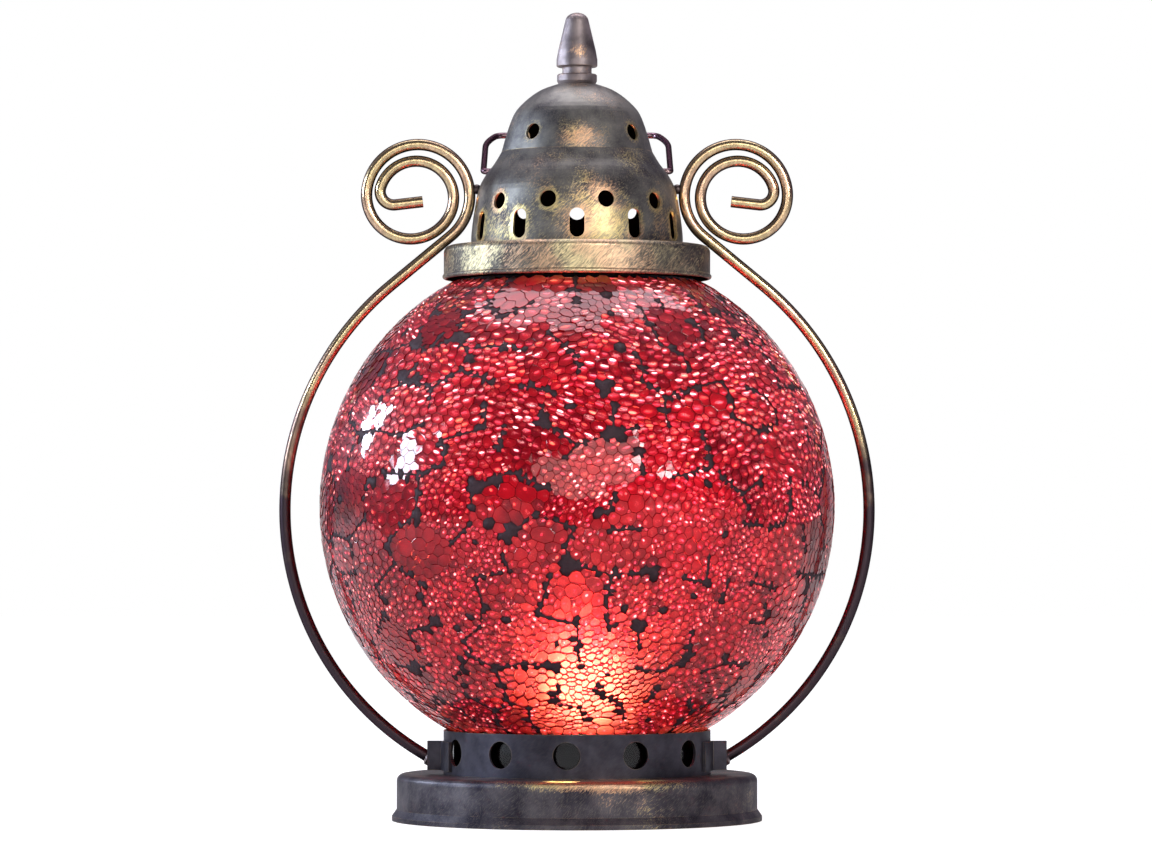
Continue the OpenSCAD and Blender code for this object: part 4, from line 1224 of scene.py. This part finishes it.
@dataclass
class Sower:
    """Sows the middles of chips in shards, and of grout cells between shards."""

    shards: Shards
    radius: float
    seed: int
    narrow: float = 0.5
    wide: float = 1.0
    closed: float = 0.5
    blobs: float = 0.17
    lost: float = 0.012

    def __post_init__(self) -> None:
        """Starts with empty lists."""
        self.random = np.random.default_rng(self.seed)
        self.places: list[np.ndarray] = []
        self.gaps: list[np.ndarray] = []
        self.luck: list[np.ndarray] = []
        self.widths: dict[tuple, float] = {}
        self.drawn: set[tuple] = set()

    def width(self, name: tuple) -> float:
        """The width of the grout along a side, or less than 0 where shards touch."""
        if name not in self.widths:
            rim = name[0] == "line" and name[1] in (0, self.shards.rows)
            shut = rim or self.random.uniform() < self.closed
            self.widths[name] = -1.0 if shut else self.narrow + (self.wide - self.narrow) * self.random.uniform() ** 2
        return self.widths[name]

    def put(self, units: np.ndarray, gap: float, luck: np.ndarray) -> None:
        """Adds points.

        Args:
            units: Directions from the globe's centre.
            gap: 1 for grout and 0 for chips.
            luck: Three random numbers that the points of one shard share.
        """
        if len(units):
            self.places.append(self.radius * units / np.linalg.norm(units, axis=1, keepdims=True))
            self.gaps.append(np.full(len(units), gap))
            self.luck.append(np.tile(luck, (len(units), 1)))

    def sow_shard(self, row: int, i: int) -> None:
        """Sows one shard and the grout on its lower and left sides.

        Args:
            row: The shard's row.
            i: Its number along the row.
        """
        units, names = self.shards.outline(row, i)
        luck = self.random.uniform(size=3)
        middle = units.mean(axis=0)
        middle /= np.linalg.norm(middle)
        across = np.cross((0.0, 0.0, 1.0), middle)
        across /= np.linalg.norm(across)
        up = np.cross(middle, across)
        flat = self.radius * np.stack([units @ across, units @ up], axis=1) / (units @ middle)[:, None]
        lift = min(max((middle[2] + 0.15) / 0.6, 0.0), 1.0)
        size = self.random.uniform(1.7, 3.1) + 0.3 * lift
        stretch = self.random.uniform(1.1, 1.7) + 0.2 * lift
        turn = self.random.uniform(-1.6, 1.6) * (1.0 - 0.85 * lift)
        grid = self.grid(flat, size, stretch, turn)
        inside = np.full(len(grid), False)
        room = np.full(len(grid), 1e9)
        edges = []
        for n, name in enumerate(names):
            a, b = flat[n], flat[(n + 1) % len(flat)]
            width = self.width(name)
            crosses = (a[1] > grid[:, 1]) != (b[1] > grid[:, 1])
            with np.errstate(divide="ignore", invalid="ignore"):
                reach = (b[0] - a[0]) * (grid[:, 1] - a[1]) / (b[1] - a[1]) + a[0]
            inside ^= crosses & (grid[:, 0] < reach)
            t = np.clip((grid - a) @ (b - a) / ((b - a) @ (b - a)), 0.0, 1.0)
            far = np.linalg.norm(grid - a - t[:, None] * (b - a), axis=1)
            inset = width if width > 0 else 0.9
            room = np.minimum(room, far - inset)
            edges.append(self.edge(a, b, inset, size))
            if width > 0 and name not in self.drawn:
                count = max(2, round(np.linalg.norm(b - a) / (0.8 * width)))
                steps = (np.arange(count)[:, None] + 0.5) / count
                line = a + steps * (b - a) + self.random.normal(0.0, 0.12, (count, 2))
                self.put(self.lift(line, across, up, middle), 1.0, luck)
            self.drawn.add(name)
        chips = np.concatenate([grid[inside & (room > 0.62 * size)]] + edges)
        lost = self.random.uniform(size=len(chips)) < self.lost
        spots = self.lift(chips, across, up, middle)
        self.put(spots[~lost], 0.0, luck)
        self.put(spots[lost], 1.0, luck)

    def lift(self, flat: np.ndarray, across: np.ndarray, up: np.ndarray, middle: np.ndarray) -> np.ndarray:
        """Directions of points that are given on a shard's own plane."""
        return middle + (flat[:, :1] * across + flat[:, 1:] * up) / self.radius

    def grid(self, flat: np.ndarray, size: float, stretch: float, turn: float) -> np.ndarray:
        """A jittered grid that covers a shard.

        Args:
            flat: The shard's corners on its plane.
            size: Distance of the grid's points.
            stretch: How much longer than high its cells are.
            turn: Turn of the grid.

        Returns:
            Two columns, in millimetres.
        """
        reach = np.abs(flat).max() * 1.5
        wide, tall = size * stretch ** 0.5, size / stretch ** 0.5
        x, y = np.meshgrid(np.arange(-reach, reach, wide), np.arange(-reach, reach, tall))
        x[1::2] += wide / 2
        spots = np.stack([x.ravel(), y.ravel()], axis=1)
        spots += self.random.uniform(-0.58, 0.58, spots.shape) * (wide, tall)
        c, d = math.cos(turn), math.sin(turn)
        return spots @ np.array([[c, d], [-d, c]])

    def edge(self, a: np.ndarray, b: np.ndarray, width: float, size: float) -> np.ndarray:
        """Chips set along a shard's side.

        Args:
            a: Start of the side.
            b: Its end, with the shard on the left.
            width: How far from the side the chips' middles are.
            size: Distance of the chips.

        Returns:
            Two columns, in millimetres.
        """
        way = b - a
        length = float(np.linalg.norm(way))
        count = max(1, round(length / size - 0.4))
        steps = (np.arange(count) + 0.5 + self.random.uniform(-0.2, 0.2, count)) / count
        steps = 0.5 + (steps - 0.5) * max(0.0, 1.0 - 1.1 * width / length)
        inwards = np.array([-way[1], way[0]]) / length
        return a + steps[:, None] * way + width * inwards

    def sow(self) -> tuple[np.ndarray, np.ndarray, np.ndarray]:
        """Sows the whole globe.

        Returns:
            Points in millimetres from the globe's centre, whether each is grout, and its shard's numbers.
        """
        shards = self.shards
        for row in range(shards.rows):
            for i in range(shards.around):
                self.sow_shard(row, i)
        for lat in (63.0, 67.0, 72.0, 78.0, -63.0, -67.0, -72.0, -78.0):
            turn = np.arange(0.0, 360.0, 5.0)
            a, t = math.radians(lat), np.radians(turn + lat)
            ring = np.stack([math.cos(a) * np.sin(t), math.cos(a) * np.cos(t), np.full(len(t), math.sin(a))], axis=1)
            self.put(ring, 0.0, np.full(3, 0.5))
        places, gaps, luck = (np.concatenate(items) for items in (self.places, self.gaps, self.luck))
        for line in range(1, shards.rows):
            for j in range(2 * shards.around):
                if self.random.uniform() < self.blobs:
                    turn, lat = np.radians(shards.corner(line, j))
                    spot = self.radius * np.array([
                        math.cos(lat) * math.sin(turn), -math.cos(lat) * math.cos(turn), math.sin(lat)
                    ])
                    gaps[np.linalg.norm(places - spot, axis=1) < self.random.uniform(1.1, 2.5)] = 1.0
        return places, gaps, luck


@dataclass
class Globe:
    """The blown globe with its crackled shards, the cracks in them and the grout between them."""

    cad: Cad
    centre: float = 93.8
    chip_r: float = 76.12
    floor: float = 27.6
    ceiling: float = 160.0
    shrink: float = 0.97
    thickness: float = 0.95
    bevel: float = 0.04
    tilt: float = 0.012
    shard_tilt: float = 0.06
    grout: float = 0.84
    seed: int = 41

    def build(self) -> None:
        """Builds chips, cracks and grout, and dresses the glass."""
        self.cad.dress(BlownGlass("blown_glass"), "glass_globe")
        trees = MosaicTrees()
        points = Sower(Shards(), self.chip_r, self.seed).sow()
        cells = {"Floor": self.floor * MM, "Ceiling": self.ceiling * MM, "Seed": self.seed}
        shrink = {"Shrink": self.shrink}
        self.add("crack_filler", trees.cracks(), points, cells, shrink, CRACK_FILLER)
        self.add("dark_grout", trees.grout(), points, cells, {"Thickness": self.grout * MM}, GROUT)
        chip = {
            **shrink, "Thickness": self.thickness * MM, "Bevel": self.bevel * MM, "Tilt": self.tilt,
            "Shard Tilt": self.shard_tilt, "Centre": (0.0, 0.0, self.centre * MM), "Wall": CRACK_FILLER.material(),
        }
        tree = trees.chips()
        cuts = (self.floor, self.centre - 24.0, self.centre + 22.0, self.ceiling)
        for name, low, high in zip(("low", "middle", "high"), cuts, cuts[1:]):
            zone = {**cells, "Floor": low * MM, "Ceiling": high * MM}
            self.add(f"mosaic_chips_{name}", tree, points, zone, chip, RED_CHIPS)

    def add(
        self, name: str, tree: bpy.types.NodeTree, points: Sequence[np.ndarray], cells: dict, extra: dict,
        finish: Finish,
    ) -> None:
        """Grows one part of the mosaic and fits it.

        Args:
            name: The piece's name.
            tree: The tree that makes it.
            points: Middles of all the cells in millimetres, whether each is grout, and its shard's numbers.
            cells: Values that choose the cells.
            extra: The tree's other values.
            finish: The piece's finish.
        """
        places, gaps, luck = points
        seeds = Mesher.mesh((places + (0.0, 0.0, self.centre)) * MM)
        Mesher.note(seeds, "in_gap", gaps)
        Mesher.note(seeds, "shard", luck)
        mesh = Mesher.grow(tree, seeds, {**cells, **extra, "Material": finish.material()})
        self.cad.fit(Mesher.place(name, mesh), Body.CAGE, "red_mosaic", "mosaic_coat")


@dataclass
class BentWire:
    """A wire bent in one plane, given as bends and straight runs."""

    diameter: float
    steps: Sequence[tuple[float, float]]
    start: tuple[float, float]
    heading: float

    def path(self, sag: float = 0.004) -> np.ndarray:
        """Points along the wire's middle.

        Args:
            sag: Most that a chord may stray from its bend.

        Returns:
            Two columns, in millimetres.
        """
        x, y = self.start
        a = math.radians(self.heading)
        points = [(x, y)]
        for radius, amount in self.steps:
            if radius == 0:
                count = max(1, int(amount // 3))
                for _ in range(count):
                    x += amount / count * math.cos(a)
                    y += amount / count * math.sin(a)
                    points.append((x, y))
                continue
            turn = math.radians(amount)
            count = max(2, math.ceil(abs(turn) / (2 * math.acos(1 - sag / radius))))
            side = math.copysign(radius, turn)
            cx, cy = x - side * math.sin(a), y + side * math.cos(a)
            for _ in range(count):
                a += turn / count
                x, y = cx + side * math.sin(a), cy - side * math.cos(a)
                points.append((x, y))
        return np.array(points)

    def build(self, name: str, spots: np.ndarray, finish: Finish, sides: int = 20) -> bpy.types.Object:
        """Sweeps the wire along points in space.

        Args:
            name: The piece's name.
            spots: Points in metres.
            finish: Its finish.
            sides: Faces round the wire.

        Returns:
            The piece.
        """
        chain = Mesher.mesh(spots, edges=[(k, k + 1) for k in range(len(spots) - 1)])
        values = {"Radius": self.diameter / 2 * MM, "Sides": sides, "Material": finish.material()}
        return Mesher.place(name, Mesher.grow(WIRE.tree(), chain, values))


class WireTree:
    """Keeps the tree that sweeps wires."""

    _tree: Optional[bpy.types.NodeTree] = None

    def tree(self) -> bpy.types.NodeTree:
        """The tree, built on first use."""
        if self._tree is None:
            self._tree = wire_tree()
        return self._tree


WIRE = WireTree()


@dataclass
class Arm(BentWire):
    """A side arm: a bow round the globe that ends in a scroll against the bell."""

    diameter: float = 3.44
    steps: Sequence[tuple[float, float]] = (
        (0, 2.5), (85, 62.1), (87.7, 48.3), (0, 23.3), (15.5, -223), (13.2, -158), (11.2, -192),
        (4.1, -114), (0, 8.3),
    )
    start: tuple[float, float] = (45.1 - 2.5 * math.cos(math.radians(30)), 19.2 - 2.5 * math.sin(math.radians(30)))
    heading: float = 30.0

    def dress(self, cad: Cad, side: Side) -> None:
        """Builds the arm on one side.

        Args:
            cad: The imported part.
            side: Which side.
        """
        flat = self.path()
        zero = np.zeros(len(flat))
        spots = np.stack([side.value * flat[:, 0], zero, flat[:, 1]], axis=1) * MM
        word = side.name.lower()
        piece = self.build(f"wire_arm_{word}", spots, COPPER_WIRE)
        cad.fit(piece, Body.CAGE, "copper_wire", f"arm_{word}")


@dataclass
class Bail(BentWire):
    """The carrying wire, which leans back behind the dome."""

    diameter: float = 1.88
    half_width: float = 28.1
    length: float = 50.3
    pivot: float = 194.5
    lean: float = 73.0
    steps: Sequence[tuple[float, float]] = ()
    start: tuple[float, float] = (-24.1, 0.0)
    heading: float = 180.0

    def __post_init__(self) -> None:
        """Works out the bends from the bail's width and length."""
        bend, corner, taper = 1.1, (2.8, 70.0), (45.0, 20.0)
        wide = corner[0] * math.sin(math.radians(corner[1])) + taper[0] * (1 - math.cos(math.radians(taper[1])))
        tall = corner[0] * (1 - math.cos(math.radians(corner[1]))) + taper[0] * math.sin(math.radians(taper[1]))
        leg = self.length - tall - bend
        half = [(0, 2.9), (bend, -90), (0, leg), (taper[0], -taper[1]), (corner[0], -corner[1])]
        crown = [(0, 2 * (self.half_width - wide))]
        self.steps = half + crown + half[::-1]

    def dress(self, cad: Cad) -> None:
        """Builds the bail.

        Args:
            cad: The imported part.
        """
        flat = self.path()
        lean = math.radians(self.lean)
        spots = np.stack([
            flat[:, 0], flat[:, 1] * math.sin(lean), self.pivot + flat[:, 1] * math.cos(lean)
        ], axis=1) * MM
        piece = self.build("carry_bail", spots, BAIL_WIRE, 16)
        cad.fit(piece, Body.BAIL, "bail_wire", "bail")


@dataclass
class Gallery:
    """The pierced ring under the globe and the tabs that hold the arms."""

    cad: Cad

    def build(self) -> None:
        """Dresses the ring, its tabs and their solder."""
        self.cad.dress(PLAIN_RING, "gallery_ring", "tab_left", "tab_right")
        self.cad.dress(SOLDER, "foot_solder_left", "foot_solder_right")


@dataclass
class Cap:
    """Band, bell, dome and finial."""

    cad: Cad

    def build(self) -> None:
        """Dresses the cap from its band to its tip."""
        self.cad.dress(GILT_BAND, "cap_band")
        self.cad.dress(BRONZE_BELL, "bell")
        self.cad.dress(BRONZE_DOME, "dome")
        self.cad.dress(BRONZE_FINIAL, "finial_collar", "finial")
        self.cad.dress(STEEL, "finial_stud", "finial_nut")
        self.cad.dress(DARK_SOLDER, "scroll_solder_left", "scroll_solder_right")


@dataclass(frozen=True)
class Panel:
    """A soft light panel, aimed at the lantern's middle."""

    name: str
    azimuth: float
    elevation: float
    width: float
    height: float
    power: float
    colour: tuple[float, float, float] = (1.0, 1.0, 1.0)
    distance: float = 1.2

    def hang(self, target: Vector) -> None:
        """Hangs the panel.

        Args:
            target: The point it is aimed at, in metres.
        """
        lamp = bpy.data.lights.new(self.name, "AREA")
        lamp.shape = "RECTANGLE"
        lamp.size, lamp.size_y = self.width, self.height
        lamp.energy = self.power
        lamp.color = self.colour
        holder = bpy.data.objects.new(self.name, lamp)
        a, e = math.radians(self.azimuth), math.radians(self.elevation)
        way = Vector((math.sin(a) * math.cos(e), -math.cos(a) * math.cos(e), math.sin(e)))
        holder.location = target + way * self.distance
        holder.rotation_euler = way.to_track_quat("Z", "Y").to_euler()
        bpy.context.scene.collection.objects.link(holder)


@dataclass
class Studio:
    """Camera, lights, floor and white surroundings."""

    lens: float = 156.25
    eye: tuple[float, float, float] = (-0.0003, -1.5, 0.0835)
    pitch: float = 1.375
    panels: Sequence[Panel] = field(default_factory=lambda: (
        Panel("front_panel", 10, 18, 0.9, 0.42, 3.0, (1.0, 0.94, 0.88)),
        Panel("top_panel", 180, 74, 1.1, 0.7, 8.5, (0.93, 0.92, 1.0)),
        Panel("left_window", -79.5, 16.5, 0.27, 0.24, 7.0, (0.68, 0.81, 1.0)),
        Panel("left_rear_window", -114.0, 17.2, 0.15, 0.24, 4.0, (0.68, 0.81, 1.0)),
        Panel("right_lamp", 27.6, 21.5, 0.16, 0.27, 2.6),
        Panel("low_left_lamp", -20, 10, 0.09, 0.09, 0.6),
        Panel("low_right_lamp", 42, 12, 0.09, 0.09, 0.6),
    ))

    def build(self) -> None:
        """Sets up the whole studio."""
        scene = bpy.context.scene
        scene.view_settings.view_transform = "Standard"
        self.camera(scene)
        for panel in self.panels:
            panel.hang(Vector((0.0, 0.0, 0.11)))
        self.world(scene)
        self.floor()

    def camera(self, scene: bpy.types.Scene) -> None:
        """Places the camera where the photograph was taken from."""
        lens = bpy.data.cameras.new("camera")
        lens.lens = self.lens
        lens.sensor_width = 36.0
        lens.clip_start, lens.clip_end = 0.05, 50.0
        camera = bpy.data.objects.new("camera", lens)
        camera.location = self.eye
        camera.rotation_euler = (math.radians(90.0 + self.pitch), 0.0, 0.0)
        scene.collection.objects.link(camera)
        scene.camera = camera

    def world(self, scene: bpy.types.Scene) -> None:
        """A white ground behind for camera, gloss and glass, with the grey room around and in front."""
        world = bpy.data.worlds.new("white_room")
        scene.world = world
        world.use_nodes = True
        graph = Graph(world.node_tree)
        path = graph.add("ShaderNodeLightPath").outputs
        way = graph.parts(graph.add("ShaderNodeTexCoord").outputs["Generated"])
        room = graph.mix(graph.step(way[1], -0.8, 0.3), rgb(0.04, 0.04, 0.05), rgb(0.17, 0.15, 0.21))
        room = graph.mix(graph.step(way[1], 0.9, 1.04), room, rgb(1.0, 1.0, 1.0))
        plain = graph.mix(path["Is Glossy Ray"], rgb(0.34, 0.34, 0.36), room)
        seen = graph.math("MAXIMUM", path["Is Camera Ray"], path["Is Transmission Ray"])
        colour = graph.mix(seen, plain, rgb(1.0, 1.0, 1.0))
        sky = graph.add("ShaderNodeBackground", {"Color": colour, "Strength": 1.0})
        graph.add("ShaderNodeOutputWorld", {"Surface": sky.outputs[0]})

    def floor(self) -> None:
        """A white floor that keeps a soft shadow."""
        half = 4.0
        points = np.array([(-half, -half, 0), (half, -half, 0), (half, half, 0), (-half, half, 0)])
        material = bpy.data.materials.new("white_floor")
        material.use_nodes = True
        graph = Graph(material.node_tree)
        path = graph.add("ShaderNodeLightPath").outputs
        seen = graph.math("MAXIMUM", path["Is Camera Ray"], path["Is Transmission Ray"])
        seen = graph.math("MAXIMUM", seen, graph.math("MULTIPLY", path["Is Glossy Ray"], 0.18))
        shader = graph.surface({
            "Base Color": rgb(0.5, 0.5, 0.5),
            "Roughness": 0.9,
            "Specular IOR Level": 0.0,
            "Emission Color": rgb(1.0, 1.0, 1.0),
            "Emission Strength": graph.math("MULTIPLY", seen, 0.85),
        })
        graph.output(shader.outputs[0])
        floor = Mesher.place("floor", Mesher.mesh(points, [(0, 1, 2, 3)]), material)


def main() -> None:
    """Builds the lantern's looks from its foot to its tip."""
    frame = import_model()
    cad = Cad(frame)
    Studio().build()
    Base(cad).build()
    Tealight(cad).build()
    Gallery(cad).build()
    Globe(cad).build()
    Cap(cad).build()
    for side in Side:
        Arm().dress(cad, side)
    Bail().dress(cad)


if __name__ == "__main__":
    logging.basicConfig(level=logging.INFO, format="%(message)s")
    main()
